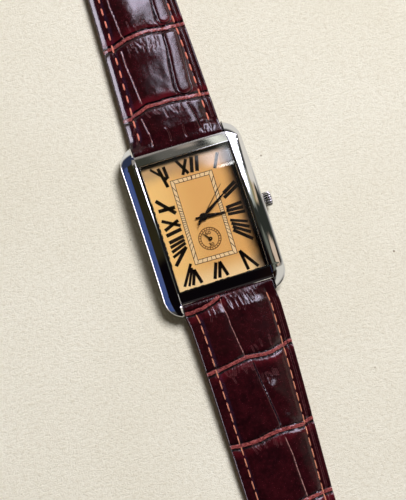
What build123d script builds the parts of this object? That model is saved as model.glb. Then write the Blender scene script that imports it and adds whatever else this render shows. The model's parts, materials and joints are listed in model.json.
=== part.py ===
from build123d import *
import math
import os

# Rectangular wristwatch on a padded leather strap, lying face up on its case back.
# Millimetres. Origin at the centre of the case back's outer face, +Z out of the dial,
# +Y to 12 o'clock and +X to the crown.

# Case
case_width = 29.0
case_length = 41.0
case_corner_radius = 4.6
case_curve_radius = 104.0
case_top = 6.9
case_bottom = 0.35
rail_bevel_width = 0.5
rail_bevel_drop = 0.3
rail_fall = 0.75
wall_foot_inset = 0.5
wall_belly_low = 2.0
wall_belly_high = 4.1
wall_shoulder_height = 5.5
wall_shoulder_inset = 0.3
wall_crest_inset = 1.1
lug_gap = 22.0
lug_flat_length = 27.0
lug_tip_rise = 0.9
band_length = 36.2
band_bevel_width = 0.9
band_bevel_drop = 0.65
cavity_width = 20.7
cavity_length = 29.6

# Crystal and its seal
crystal_width = 21.0
crystal_length = 29.9
crystal_seat = 6.1
crystal_thickness = 1.4
crystal_edge_bevel = 0.22
crystal_bevel_angle = 45.0
gasket_wall = 0.2
gasket_recess = 0.12

# Case back and its screws
back_thickness = 0.8
back_margin = 2.0
back_corner_radius = 2.4
back_step_depth = 0.35
back_seal_width = 0.5
back_seal_height = 0.3
back_seal_gap = 0.05
back_screw_inset_x = 1.15
back_screw_inset_y = 1.05
back_screw_radius = 0.4
back_screw_head_radius = 0.62
back_screw_head_depth = 0.35
back_screw_length = 2.2
back_screw_slot = 0.14

# Dial and spacer ring
dial_width = 20.5
dial_length = 29.4
dial_thickness = 0.4
dial_seat = 4.0
dial_centre_hole_radius = 0.8
dial_small_hole_radius = 0.3
dial_step = 0.05
small_seconds_offset = 5.2
small_seconds_radius = 2.62
ring_bottom = 1.0
ring_pocket_clearance = 0.1
ring_stem_slot = 1.2

# Movement plates
plate_width = 15.3
plate_length = 17.8
plate_bottom = 2.5
plate_top = 3.4
bridge_bottom = 1.0
bridge_thickness = 0.3
bridge_width = 14.4
bridge_top_edge = 1.6
bridge_bottom_edge = -6.3
pillar_radius = 0.55
pillar_inset = 0.85
board_pillar_inset = 1.15
movement_screw_radius = 0.22
movement_screw_head_radius = 0.48
movement_screw_head_height = 0.14
movement_screw_length = 1.5

# Gear train. Pitch radii follow from the centre distances and the tooth counts.
seconds_pinion_teeth = 8
third_wheel_teeth = 64
third_pinion_teeth = 8
centre_wheel_teeth = 60
cannon_teeth = 12
minute_wheel_teeth = 36
minute_pinion_teeth = 10
hour_wheel_teeth = 40
seconds_wheel_teeth = 60
intermediate_pinion_teeth = 10
intermediate_wheel_teeth = 30
rotor_pinion_teeth = 6
train_distance = 3.4
motion_distance = 2.16
drive_distance = 3.5
rotor_distance = 1.62
drive_direction = 200.0
motion_direction = 125.0
wheel_thickness = 0.16
pinion_thickness = 0.34
tooth_addendum = 0.85
tooth_dedendum = 1.2
tooth_root_share = 0.64
tooth_tip_share = 0.22
level_seconds_wheel = 1.4
level_third_wheel = 1.68
level_centre_wheel = 2.08
level_cannon = 3.45
level_hour_wheel = 3.72
pivot_clearance = 0.03
running_gap = 0.05

# Arbors and tubes
seconds_arbor_radius = 0.12
cannon_tube_radius = 0.32
hour_tube_radius = 0.55
small_arbor_radius = 0.14
post_radius = 0.15

# Motor
rotor_magnet_radius = 0.7
rotor_magnet_height = 0.36
stator_bottom = 1.98
stator_thickness = 0.36
stator_bore = 0.9
stator_limb = 0.8
coil_offset = 7.9
coil_core_length = 12.4
coil_core_width = 0.8
coil_core_bottom = 1.58
coil_winding_length = 8.4
coil_winding_radius = 0.62

# Battery and electronics
battery_radius = 3.35
battery_height = 2.1
battery_bottom = 1.2
battery_x = -4.0
battery_y = 5.3
battery_clearance = 0.08
battery_edge = 0.25
clamp_thickness = 0.14
clamp_width = 1.6
board_left = 0.3
board_lower_edge = 2.2
board_margin = 0.45
board_bottom = 1.1
board_thickness = 0.3
chip_size = 1.7
chip_height = 0.5
can_radius = 0.5
can_length = 4.4

# Stem, crown and crown tube
stem_height = 2.95
stem_radius = 0.34
stem_inner_end = 3.9
stem_neck_radius = 0.12
stem_groove_start = 5.5
stem_groove_width = 0.3
stem_channel = 0.46
crown_radius = 1.75
crown_length = 2.0
crown_gap = 0.3
crown_flutes = 18
crown_flute_depth = 0.2
crown_rim = 0.3
crown_pull_travel = 0.9
tube_outer_radius = 1.0
tube_bore_radius = 0.5
tube_inner_end = 10.6
tube_protrusion = 1.15
crown_seal_radius = 0.2
crown_seal_inset = 0.35

# Setting lever
lever_pivot_drop = 1.75
lever_arm = 1.48
lever_bottom = 2.12
lever_thickness = 0.25
lever_width = 0.5
lever_pin_radius = 0.09
lever_swing = 35.0

# Hands
hand_thickness = 0.15
hour_hand_length = 5.5
hour_hand_tail = 1.85
hour_hand_width = 0.95
minute_hand_length = 8.7
minute_hand_tail = 1.8
minute_hand_width = 0.8
seconds_hand_length = 8.5
seconds_hand_tail = 2.3
seconds_hand_width = 0.2
seconds_tail_width = 0.34
small_hand_length = 2.05
small_hand_width = 0.26
hand_hub_radius = 0.92
minute_hub_radius = 0.8
seconds_hub_radius = 0.42
small_hub_radius = 0.45
hour_hand_level = 4.82
minute_hand_level = 5.18
seconds_hand_level = 5.5
small_hand_level = 4.6
seconds_cap_height = 0.16
hour_hand_angle = 95.0
minute_hand_angle = 58.0
seconds_hand_angle = 45.0
small_hand_angle = -40.0

# Spring bars
bar_offset = 18.85
bar_height = 2.65
bar_barrel_radius = 0.75
bar_barrel_end_gap = 0.3
bar_bore_radius = 0.58
bar_bore_depth = 3.6
bar_tip_shoulder_radius = 0.52
bar_tip_shoulder_length = 2.4
bar_tip_pin_radius = 0.35
bar_tip_pin_length = 0.75
lug_hole_radius = 0.41
lug_hole_depth = 0.95

# Strap
strap_width = 21.6
strap_end_width = 18.0
strap_taper_length = 70.0
long_half_length = 115.0
short_half_length = 75.0
strap_loop_radius = 1.82
strap_bore_clearance = 0.04
strap_shoulder = 0.7
strap_pad_start = 3.2
strap_pad_height = 4.5
strap_mid_height = 2.95
strap_end_height = 2.4
strap_mid_station = 47.0
strap_pad_station = 12.0
strap_crown_share = 0.42
lining_thickness = 1.0
filler_inset = 2.6
filler_wall = 1.1
filler_reach = 62.0
long_tip_lift = 0.05
long_tip_taper = 9.0
long_tip_width = 7.0
strap_hole_radius = 1.0
strap_hole_count = 7
strap_hole_pitch = 6.5
strap_hole_start = 26.0
scallop_clearance = 0.22
scallop_drop = 0.9
scallop_wall = 1.85

# Keepers
keeper_wall = 0.9
keeper_width = 5.0
keeper_height = 5.3
keeper_side_gap = 0.35
keeper_corner_radius = 1.0
fixed_keeper_inset = 12.0
sliding_keeper_inset = 27.0

# Buckle
buckle_arm = 1.8
buckle_opening = 18.6
buckle_reach = 9.5
buckle_bar_width = 2.1
buckle_height = 2.2
buckle_corner_radius = 3.4
buckle_inner_radius = 1.8
buckle_eye_radius = 1.35
tongue_width = 2.0
tongue_slot_width = 2.6
tongue_slot_length = 3.2
tongue_thickness = 0.9
tongue_eye_radius = 1.25
tongue_overhang = 0.7
buckle_bar_clearance = 0.05

overrun = 5.0

half_case_width = case_width / 2
half_case_length = case_length / 2
half_gap = lug_gap / 2
curve_centre = case_top - case_curve_radius
opening_width = crystal_width + 2 * gasket_wall
opening_length = crystal_length + 2 * gasket_wall
back_width = cavity_width + 2 * back_margin
back_length = cavity_length + 2 * back_margin
bridge_top = bridge_bottom + bridge_thickness
fixed_keeper_station = short_half_length - fixed_keeper_inset
sliding_keeper_station = short_half_length - sliding_keeper_inset
third_x = math.sqrt(train_distance ** 2 - (small_seconds_offset / 2) ** 2)
third_y = -small_seconds_offset / 2
half_plate_width = plate_width / 2
half_plate_length = plate_length / 2


def block(x0, x1, y0, y1, z0, z1):
    """Box between two corners."""
    centre = Pos((x0 + x1) / 2, (y0 + y1) / 2, (z0 + z1) / 2)
    return centre * Box(x1 - x0, y1 - y0, z1 - z0)


def post(x, y, z0, z1, radius):
    """Upright cylinder."""
    return Pos(x, y, (z0 + z1) / 2) * Cylinder(radius, z1 - z0)


def shaft(x0, x1, y, z, radius):
    """Cylinder lying along X."""
    return Pos((x0 + x1) / 2, y, z) * Rot(0, 90, 0) * Cylinder(radius, x1 - x0)


def plan_block(width, length, radius, z0, z1):
    """Upright prism with rounded plan corners."""
    return extrude(Pos(0, 0, z0) * RectangleRounded(width, length, radius), z1 - z0)


def slab_along_x(outline, half_width):
    """Outline drawn in Y and Z, carried both ways along X."""
    return extrude(Plane.YZ * make_face(outline), half_width, both=True)


def curve_height(mid_height, y):
    """Height at Y of a surface that follows the case's lengthwise curve."""
    radius = case_curve_radius + mid_height - case_top
    return curve_centre + math.sqrt(radius ** 2 - y ** 2)


def curved_layer(low, high, half_length, half_width):
    """Slab between two surfaces that follow the case's lengthwise curve."""
    low_end = (half_length, curve_height(low, half_length))
    high_end = (half_length, curve_height(high, half_length))
    low_start = (-low_end[0], low_end[1])
    high_start = (-high_end[0], high_end[1])
    outline = ThreePointArc(low_start, (0, low), low_end)
    outline += Line(low_end, high_end)
    outline += ThreePointArc(high_end, (0, high), high_start)
    outline += Line(high_start, low_start)
    return slab_along_x(outline, half_width)


def fused(first, *others):
    """One solid from several that touch or overlap."""
    body = first
    for other in others:
        body = body + other
    return body


# Case

def rail_section_ring():
    """Case top with its bevelled, gently rounded rails, turned about the case's curve centre."""
    crest = opening_width / 2 + rail_bevel_width
    edge = half_case_width + overrun
    fall_radius = ((half_case_width - crest) ** 2 + rail_fall ** 2) / (2 * rail_fall)
    reach = half_case_width - crest
    middle = reach / 2
    middle_fall = fall_radius - math.sqrt(fall_radius ** 2 - middle ** 2)
    floor = case_top - 2 * overrun
    right = [
        (crest - rail_bevel_width, case_top - rail_bevel_drop),
        (crest, case_top),
        (half_case_width, case_top - rail_fall),
        (edge, case_top - rail_fall),
        (edge, floor),
    ]
    outline = Line((-right[0][0], right[0][1]), right[0])
    outline += Line(right[0], right[1])
    outline += ThreePointArc(right[1], (crest + middle, case_top - middle_fall), right[2])
    outline += Line(right[2], right[3])
    outline += Line(right[3], right[4])
    outline += Line(right[4], (-edge, floor))
    outline += Line((-edge, floor), (-edge, case_top - rail_fall))
    outline += Line((-edge, case_top - rail_fall), (-half_case_width, case_top - rail_fall))
    left_middle = (-crest - middle, case_top - middle_fall)
    outline += ThreePointArc((-half_case_width, case_top - rail_fall), left_middle, (-crest, case_top))
    outline += Line((-crest, case_top), (-right[0][0], right[0][1]))
    profile = Plane.XZ * make_face(outline)
    return revolve(profile, Axis((0, 0, curve_centre), (1, 0, 0)))


def wall_section(height, inset):
    """Plan outline of the case at a height, drawn in by an inset."""
    width = case_width - 2 * inset
    length = case_length - 2 * inset
    return Pos(0, 0, height) * RectangleRounded(width, length, case_corner_radius - inset / 2)


def case_wall_block():
    """Outer wall: it leans out from the foot, stands upright, then rounds in to the rails."""
    sections = [
        wall_section(case_bottom, wall_foot_inset),
        wall_section(wall_belly_low, 0),
        wall_section(wall_belly_high, 0),
        wall_section(wall_shoulder_height, wall_shoulder_inset),
        wall_section(case_top, wall_crest_inset),
    ]
    return loft(sections, ruled=True)


def lug_underside(side):
    """Wedge that lifts the underside of the lugs at one end."""
    start = lug_flat_length / 2 * side
    end = (half_case_length + overrun) * side
    slope = lug_tip_rise / (half_case_length - lug_flat_length / 2)
    rise = slope * (abs(end) - abs(start))
    points = [(start, case_bottom), (end, case_bottom + rise), (end, case_bottom - overrun)]
    return slab_along_x(Polyline(*points, close=True), half_case_width + overrun)


def end_scallop(side):
    """Room at one case end for the strap's loop to turn about its spring bar."""
    radius = strap_loop_radius + scallop_clearance
    wall = (bar_offset - scallop_wall) * side
    end = (half_case_length + overrun) * side
    round_cut = shaft(-half_gap, half_gap, bar_offset * side, bar_height, radius)
    low, high = min(wall, end), max(wall, end)
    drop = block(-half_gap, half_gap, low, high, case_bottom - overrun, bar_height - scallop_drop)
    return round_cut + drop


def lug_gap_cut(side):
    """Gap between two lugs, and the bevel along the end band's outer edge."""
    start = band_length / 2 * side
    end = (half_case_length + overrun) * side
    low, high = min(start, end), max(start, end)
    gap = block(-half_gap, half_gap, low, high, case_bottom - overrun, case_top + overrun)
    band_top = curve_height(case_top - rail_bevel_drop, band_length / 2)
    inner = start - band_bevel_width * side
    inner_top = curve_height(case_top - rail_bevel_drop, abs(inner))
    bevel = [(inner, inner_top), (inner, case_top), (start, case_top), (start, band_top - band_bevel_drop)]
    return gap + slab_along_x(Polyline(*bevel, close=True), half_gap)


def make_case_middle():
    body = case_wall_block() & rail_section_ring()
    for side in (-1, 1):
        body -= lug_underside(side)
    opening = curved_layer(crystal_seat, case_top + overrun, opening_length / 2, opening_width / 2)
    body -= opening
    body -= plan_block(cavity_width, cavity_length, back_step_depth, case_bottom - overrun, case_top)
    body -= plan_block(back_width, back_length, back_corner_radius, case_bottom - overrun, back_thickness)
    for side in (-1, 1):
        body -= lug_gap_cut(side)
        body -= end_scallop(side)
        hole = half_gap + lug_hole_depth
        body -= shaft(-hole, hole, bar_offset * side, bar_height, lug_hole_radius)
    body -= shaft(0, half_case_width + overrun, 0, stem_height, tube_outer_radius)
    for x, y in back_screw_places():
        body -= post(x, y, case_bottom, back_screw_length, back_screw_radius)
    return body


def back_screw_places():
    x = cavity_width / 2 + back_screw_inset_x
    y = cavity_length / 2 + back_screw_inset_y
    return [(x, y), (-x, y), (x, -y), (-x, -y)]


def make_case_back():
    body = plan_block(back_width, back_length, back_corner_radius, 0, back_thickness)
    rim = body.edges().group_by(Axis.Z)[0]
    body = chamfer(rim, back_step_depth / 2)
    for x, y in back_screw_places():
        body -= post(x, y, -overrun, overrun, back_screw_radius)
        body -= post(x, y, -overrun, back_screw_head_depth, back_screw_head_radius)
    return body


def make_case_back_seal():
    """Flat seal that lies on the back plate, inside the cavity wall."""
    top = back_thickness + back_seal_height
    width = cavity_width - 2 * back_seal_gap
    length = cavity_length - 2 * back_seal_gap
    outer = plan_block(width, length, back_step_depth, back_thickness, top)
    inner_width = width - 2 * back_seal_width
    inner_length = length - 2 * back_seal_width
    radius = back_step_depth / 2
    return outer - plan_block(inner_width, inner_length, radius, back_thickness, top)


def make_case_back_screws():
    screws = []
    for x, y in back_screw_places():
        head = post(x, y, back_screw_slot, back_screw_head_depth, back_screw_head_radius)
        shank = post(x, y, back_screw_head_depth, back_screw_length, back_screw_radius)
        slot = block(
            x - back_screw_head_radius,
            x + back_screw_head_radius,
            y - back_screw_slot / 2,
            y + back_screw_slot / 2,
            0,
            2 * back_screw_slot,
        )
        screws.append((head + shank) - slot)
    return Compound(children=screws)


# Crystal and seal

def make_crystal():
    """Curved pane with a bevel along its four top edges."""
    half_width = crystal_width / 2
    top = crystal_seat + crystal_thickness
    body = curved_layer(crystal_seat, top, crystal_length / 2, half_width)
    for side in (-1, 1):
        body -= crystal_long_bevel(side)
        body -= crystal_end_bevel(side)
    return body


def crystal_long_bevel(side):
    """Cut along one long edge, turned about the case's curve centre."""
    edge = crystal_width / 2
    top = crystal_seat + crystal_thickness
    bevel = crystal_edge_bevel
    points = [
        ((edge - 2 * bevel) * side, top + bevel),
        ((edge + bevel) * side, top - 2 * bevel),
        ((edge + bevel) * side, top + bevel),
    ]
    profile = Plane.XZ * make_face(Polyline(*points, close=True))
    return revolve(profile, Axis((0, 0, curve_centre), (1, 0, 0)))


def crystal_end_bevel(side):
    """Slanted cut across one short edge."""
    end = crystal_length / 2
    height = curve_height(crystal_seat + crystal_thickness, end) - crystal_edge_bevel
    half_width = crystal_width / 2 + overrun
    cutter = block(-half_width, half_width, -overrun, overrun, 0, overrun)
    return Pos(0, end * side, height) * Rot(-crystal_bevel_angle * side, 0, 0) * cutter


def make_crystal_gasket():
    top = case_top - rail_bevel_drop - gasket_recess
    body = curved_layer(crystal_seat, top, opening_length / 2, opening_width / 2)
    return body - block(
        -crystal_width / 2,
        crystal_width / 2,
        -crystal_length / 2,
        crystal_length / 2,
        0,
        case_top + overrun,
    )


# Dial and spacer

def make_dial():
    top = dial_seat + dial_thickness
    body = block(-dial_width / 2, dial_width / 2, -dial_length / 2, dial_length / 2, dial_seat, top)
    body -= post(0, 0, dial_seat, top, dial_centre_hole_radius)
    body -= post(0, -small_seconds_offset, dial_seat, top, dial_small_hole_radius)
    return body - post(0, -small_seconds_offset, top - dial_step, top, small_seconds_radius)


def make_movement_ring():
    body = block(-dial_width / 2, dial_width / 2, -dial_length / 2, dial_length / 2, ring_bottom, dial_seat)
    x = half_plate_width + ring_pocket_clearance
    y = half_plate_length + ring_pocket_clearance
    body -= block(-x, x, -y, y, ring_bottom, dial_seat)
    seal = cavity_width / 2 - back_seal_gap - back_seal_width
    seal_y = cavity_length / 2 - back_seal_gap - back_seal_width
    step = back_thickness + back_seal_height + running_gap
    rim = block(-dial_width, dial_width, -dial_length, dial_length, 0, step)
    body -= rim - block(-seal, seal, -seal_y, seal_y, 0, step)
    slot = ring_stem_slot / 2
    return body - block(0, dial_width, -slot, slot, 0, stem_height + slot)


# Gears

def gear_face(teeth, pitch_radius, phase):
    """Toothed outline: each tooth is a trapezium on a circle, with its middle at the phase."""
    module = 2 * pitch_radius / teeth
    tip = pitch_radius + tooth_addendum * module
    root = pitch_radius - tooth_dedendum * module
    step = 2 * math.pi / teeth
    points = []
    for tooth in range(teeth):
        middle = math.radians(phase) + tooth * step
        for radius, share in (
            (root, -tooth_root_share),
            (tip, -tooth_tip_share),
            (tip, tooth_tip_share),
            (root, tooth_root_share),
        ):
            angle = middle + share * step / 2
            points.append((radius * math.cos(angle), radius * math.sin(angle)))
    return make_face(Polyline(*points, close=True))


def gear(teeth, pitch_radius, phase, x, y, z0, thickness):
    return extrude(Pos(x, y, z0) * gear_face(teeth, pitch_radius, phase), thickness)


def meshed_phase(phase, teeth, direction, other_teeth):
    """Phase of a gear so that its gaps meet the teeth of the gear that it runs with."""
    lead = (direction - phase) * teeth / other_teeth
    return direction + 180 + lead + 180 / other_teeth


def pitch(distance, teeth, other_teeth):
    """Pitch radius of the first of two gears at a centre distance."""
    return distance * teeth / (teeth + other_teeth)


def direction_to(x0, y0, x1, y1):
    return math.degrees(math.atan2(y1 - y0, x1 - x0))


def polar(x, y, distance, direction):
    angle = math.radians(direction)
    return x + distance * math.cos(angle), y + distance * math.sin(angle)


intermediate_x, intermediate_y = polar(0, 0, drive_distance, drive_direction)
rotor_x, rotor_y = polar(intermediate_x, intermediate_y, rotor_distance, drive_direction)
minute_wheel_x, minute_wheel_y = polar(0, 0, motion_distance, motion_direction)

to_third = direction_to(0, 0, third_x, third_y)
to_small = direction_to(third_x, third_y, 0, -small_seconds_offset)
third_phase = meshed_phase(0, seconds_pinion_teeth, to_third, third_wheel_teeth)
small_phase = meshed_phase(third_phase, third_wheel_teeth, to_small, seconds_pinion_teeth)
centre_phase = meshed_phase(0, third_pinion_teeth, to_third + 180, centre_wheel_teeth)
minute_wheel_phase = meshed_phase(0, cannon_teeth, motion_direction, minute_wheel_teeth)
hour_phase = meshed_phase(0, minute_pinion_teeth, motion_direction + 180, hour_wheel_teeth)
intermediate_phase = meshed_phase(0, seconds_wheel_teeth, drive_direction, intermediate_pinion_teeth)
rotor_phase = meshed_phase(0, intermediate_wheel_teeth, drive_direction, rotor_pinion_teeth)


def make_seconds_wheel():
    """Arbor with the seconds wheel and the pinion that drives the third wheel."""
    wheel_radius = pitch(drive_distance, seconds_wheel_teeth, intermediate_pinion_teeth)
    pinion_radius = pitch(train_distance, seconds_pinion_teeth, third_wheel_teeth)
    wheel = gear(seconds_wheel_teeth, wheel_radius, 0, 0, 0, level_seconds_wheel, wheel_thickness)
    pinion_base = level_seconds_wheel + wheel_thickness
    pinion = gear(seconds_pinion_teeth, pinion_radius, 0, 0, 0, pinion_base, pinion_thickness)
    arbor = post(0, 0, bridge_bottom, seconds_hand_level + hand_thickness, seconds_arbor_radius)
    return fused(arbor, wheel, pinion)


def make_third_wheel():
    wheel_radius = pitch(train_distance, third_wheel_teeth, seconds_pinion_teeth)
    pinion_radius = pitch(train_distance, third_pinion_teeth, centre_wheel_teeth)
    base = level_third_wheel
    wheel = gear(third_wheel_teeth, wheel_radius, third_phase, third_x, third_y, base, wheel_thickness)
    pinion_base = base + wheel_thickness
    pinion_top = level_centre_wheel + wheel_thickness + running_gap
    height = pinion_top - pinion_base
    pinion = gear(third_pinion_teeth, pinion_radius, 0, third_x, third_y, pinion_base, height)
    arbor = post(third_x, third_y, bridge_bottom, plate_top, small_arbor_radius)
    return fused(arbor, wheel, pinion)


def make_centre_wheel():
    """Centre wheel on the tube that carries the cannon pinion and the minute hand."""
    wheel_radius = pitch(train_distance, centre_wheel_teeth, third_pinion_teeth)
    cannon_radius = pitch(motion_distance, cannon_teeth, minute_wheel_teeth)
    wheel = gear(centre_wheel_teeth, wheel_radius, centre_phase, 0, 0, level_centre_wheel, wheel_thickness)
    cannon = gear(cannon_teeth, cannon_radius, 0, 0, 0, level_cannon, wheel_thickness)
    top = minute_hand_level + hand_thickness
    tube = post(0, 0, level_centre_wheel, top, cannon_tube_radius)
    body = fused(tube, wheel, cannon)
    return body - post(0, 0, level_centre_wheel, top, seconds_arbor_radius + pivot_clearance)


def make_minute_wheel():
    """Wheel and pinion of the motion work, on a post of the main plate."""
    wheel_radius = pitch(motion_distance, minute_wheel_teeth, cannon_teeth)
    pinion_radius = pitch(motion_distance, minute_pinion_teeth, hour_wheel_teeth)
    x, y = minute_wheel_x, minute_wheel_y
    wheel = gear(minute_wheel_teeth, wheel_radius, minute_wheel_phase, x, y, level_cannon, wheel_thickness)
    base = level_cannon + wheel_thickness
    top = dial_seat - running_gap
    pinion = gear(minute_pinion_teeth, pinion_radius, 0, x, y, base, top - base)
    return (wheel + pinion) - post(x, y, level_cannon, top, post_radius + pivot_clearance)


def make_hour_wheel():
    radius = pitch(motion_distance, hour_wheel_teeth, minute_pinion_teeth)
    wheel = gear(hour_wheel_teeth, radius, hour_phase, 0, 0, level_hour_wheel, wheel_thickness)
    top = hour_hand_level + hand_thickness
    tube = post(0, 0, level_hour_wheel, top, hour_tube_radius)
    return (wheel + tube) - post(0, 0, level_hour_wheel, top, cannon_tube_radius + pivot_clearance)


def make_intermediate_wheel():
    pinion_radius = pitch(drive_distance, intermediate_pinion_teeth, seconds_wheel_teeth)
    wheel_radius = pitch(rotor_distance, intermediate_wheel_teeth, rotor_pinion_teeth)
    x, y = intermediate_x, intermediate_y
    teeth = intermediate_pinion_teeth
    base = level_third_wheel
    low = level_seconds_wheel
    pinion = gear(teeth, pinion_radius, intermediate_phase, x, y, low, base - low)
    wheel = gear(intermediate_wheel_teeth, wheel_radius, 0, x, y, base, wheel_thickness)
    arbor = post(x, y, bridge_bottom, plate_top, small_arbor_radius)
    return fused(arbor, pinion, wheel)


def make_rotor():
    """Rotor pinion with its round magnet in the stator's bore."""
    radius = pitch(rotor_distance, rotor_pinion_teeth, intermediate_wheel_teeth)
    x, y = rotor_x, rotor_y
    height = stator_bottom - level_third_wheel
    pinion = gear(rotor_pinion_teeth, radius, rotor_phase, x, y, level_third_wheel, height)
    magnet = post(x, y, stator_bottom, stator_bottom + rotor_magnet_height, rotor_magnet_radius)
    arbor = post(x, y, bridge_bottom, plate_top, small_arbor_radius)
    return fused(arbor, pinion, magnet)


def make_small_seconds_pinion():
    radius = pitch(train_distance, seconds_pinion_teeth, third_wheel_teeth)
    y = -small_seconds_offset
    base = level_third_wheel - running_gap
    pinion = gear(seconds_pinion_teeth, radius, small_phase, 0, y, base, pinion_thickness)
    arbor = post(0, y, bridge_bottom, small_hand_level + hand_thickness, small_arbor_radius)
    return arbor + pinion


# Movement plates and motor

def bridge_screw_places():
    x = half_plate_width - pillar_inset
    return [
        (x, bridge_top_edge - pillar_inset),
        (-x, bridge_top_edge - pillar_inset),
        (x, bridge_bottom_edge + pillar_inset),
        (-x, bridge_bottom_edge + pillar_inset),
    ]


def board_screw_places():
    x = half_plate_width - board_pillar_inset
    y = half_plate_length - board_pillar_inset
    return [(x, y), (board_left + board_pillar_inset, y)]


def coil_screw_places():
    x = coil_core_length / 2 - coil_core_width / 2
    return [(x, -coil_offset), (-x, -coil_offset)]


def pivot_places():
    """Places of the arbors that turn in the main plate and the bridge, with their radii."""
    return [
        (third_x, third_y, small_arbor_radius),
        (intermediate_x, intermediate_y, small_arbor_radius),
        (rotor_x, rotor_y, small_arbor_radius),
        (0, -small_seconds_offset, small_arbor_radius),
    ]


def make_main_plate():
    x = half_plate_width
    y = half_plate_length
    body = block(-x, x, -y, y, plate_bottom, plate_top)
    for px, py in bridge_screw_places():
        body += post(px, py, bridge_top, plate_bottom, pillar_radius)
    for px, py in board_screw_places():
        body += post(px, py, board_bottom + board_thickness, plate_bottom, pillar_radius)
    for px, py in coil_screw_places():
        body += post(px, py, stator_bottom + stator_thickness, plate_bottom, pillar_radius)
    body += post(minute_wheel_x, minute_wheel_y, plate_top, dial_seat - running_gap, post_radius)
    body -= post(battery_x, battery_y, 0, dial_seat, battery_radius + battery_clearance)
    body -= post(0, 0, 0, dial_seat, cannon_tube_radius + pivot_clearance)
    for px, py, radius in pivot_places():
        body -= post(px, py, 0, dial_seat, radius + pivot_clearance)
    for px, py in bridge_screw_places() + board_screw_places() + coil_screw_places():
        body -= post(px, py, 0, plate_bottom, movement_screw_radius)
    start = stem_inner_end - running_gap
    body -= shaft(start, x, 0, stem_height, stem_channel)
    slot_start = lever_pin_x(-1) - lever_width
    body -= block(slot_start, x, -lever_arm / 2, 0, lever_bottom, stem_height + stem_channel)
    px, py = lever_pivot()
    return body - post(px, py, plate_bottom, plate_top, lever_pin_radius + pivot_clearance)


def make_train_bridge():
    half = bridge_width / 2
    body = block(-half, half, bridge_bottom_edge, bridge_top_edge, bridge_bottom, bridge_top)
    body -= post(0, 0, 0, bridge_top, seconds_arbor_radius + pivot_clearance)
    for x, y, radius in pivot_places():
        body -= post(x, y, 0, bridge_top, radius + pivot_clearance)
    for x, y in bridge_screw_places():
        body -= post(x, y, 0, bridge_top, movement_screw_radius)
    upright = body.edges().filter_by(Axis.Z).sort_by(lambda edge: -abs(edge.center().X))[0:4]
    return fillet(upright, pillar_radius)


def make_movement_screws():
    """Screws of the bridge, the circuit board and the coil, as one group of equal screws."""
    seats = [(x, y, bridge_bottom) for x, y in bridge_screw_places()]
    seats += [(x, y, board_bottom) for x, y in board_screw_places()]
    seats += [(x, y, coil_core_bottom) for x, y in coil_screw_places()]
    screws = []
    for x, y, z in seats:
        length = min(movement_screw_length, plate_bottom - z)
        head = post(x, y, z - movement_screw_head_height, z, movement_screw_head_radius)
        shank = post(x, y, z, z + length, movement_screw_radius)
        screws.append(head + shank)
    return Compound(children=screws)


def make_stator():
    """Flat yoke round the rotor, joined to both ends of the coil core."""
    end = coil_core_length / 2
    low = -coil_offset - coil_core_width / 2
    reach = stator_bore + stator_limb
    cross_low = -coil_offset + coil_core_width / 2 + stator_limb
    cross_top = cross_low + stator_limb
    level = (stator_bottom, stator_bottom + stator_thickness)
    head = block(rotor_x - reach, rotor_x + reach, rotor_y - reach, rotor_y + reach, *level)
    left = block(-end, stator_limb - end, low, rotor_y - reach, *level)
    cross = block(-end, end, cross_low, cross_top, *level)
    right = block(end - stator_limb, end, low, cross_low, *level)
    body = fused(head, left, cross, right)
    body -= post(rotor_x, rotor_y, *level, stator_bore)
    body -= post(intermediate_x, intermediate_y, *level, small_arbor_radius + running_gap)
    for x, y in coil_screw_places():
        body -= post(x, y, *level, movement_screw_radius)
    return body


def make_coil_core():
    end = coil_core_length / 2
    top = stator_bottom
    low = -coil_offset - coil_core_width / 2
    high = -coil_offset + coil_core_width / 2
    body = block(-end, end, low, high, coil_core_bottom, top)
    for x, y in coil_screw_places():
        body -= post(x, y, 0, dial_seat, movement_screw_radius)
    return body


def make_coil_winding():
    middle = (coil_core_bottom + stator_bottom) / 2
    half = coil_winding_length / 2
    winding = shaft(-half, half, -coil_offset, middle, coil_winding_radius)
    return winding - make_coil_core()


def make_battery():
    top = battery_bottom + battery_height
    step = battery_bottom + battery_edge
    can = post(battery_x, battery_y, step, top, battery_radius)
    return can + post(battery_x, battery_y, battery_bottom, step, battery_radius - battery_edge)


def make_battery_clamp():
    """Sprung strip under the cell, held by the circuit board's screw."""
    x, y = board_screw_places()[1]
    half = clamp_width / 2
    strip = block(battery_x, x + half, y - half, y + half, board_bottom - clamp_thickness, board_bottom)
    low = board_bottom - clamp_thickness
    foot = block(battery_x - half, battery_x + half, battery_y - half, y + half, low, board_bottom)
    body = strip + foot
    return body - post(x, y, low, board_bottom, movement_screw_head_radius + running_gap)


def make_circuit_board():
    right = half_plate_width - board_margin
    top = half_plate_length - board_margin
    z1 = board_bottom + board_thickness
    body = block(board_left, right, board_lower_edge, top, board_bottom, z1)
    body -= post(battery_x, battery_y, 0, z1, battery_radius + battery_clearance)
    for x, y in board_screw_places():
        body -= post(x, y, 0, z1, movement_screw_radius)
    return body


def make_control_chip():
    base = board_bottom + board_thickness
    x = half_plate_width - board_margin - chip_size
    y = board_lower_edge + chip_size
    half = chip_size / 2
    body = block(x - half, x + half, y - half, y + half, base, base + chip_height)
    rim = body.edges().group_by(Axis.Z)[-1]
    return chamfer(rim, chip_height / 3)


def make_quartz_can():
    base = board_bottom + board_thickness + can_radius
    right = half_plate_width - board_margin - board_pillar_inset
    y = board_lower_edge + 2 * chip_size + can_radius
    return shaft(right - can_length, right, y, base, can_radius)


# Stem and crown

crown_inner_face = half_case_width + crown_gap
crown_outer_face = crown_inner_face + crown_length
tube_end = half_case_width + tube_protrusion
crown_pocket_radius = tube_outer_radius + 2 * crown_seal_radius + running_gap


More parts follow.
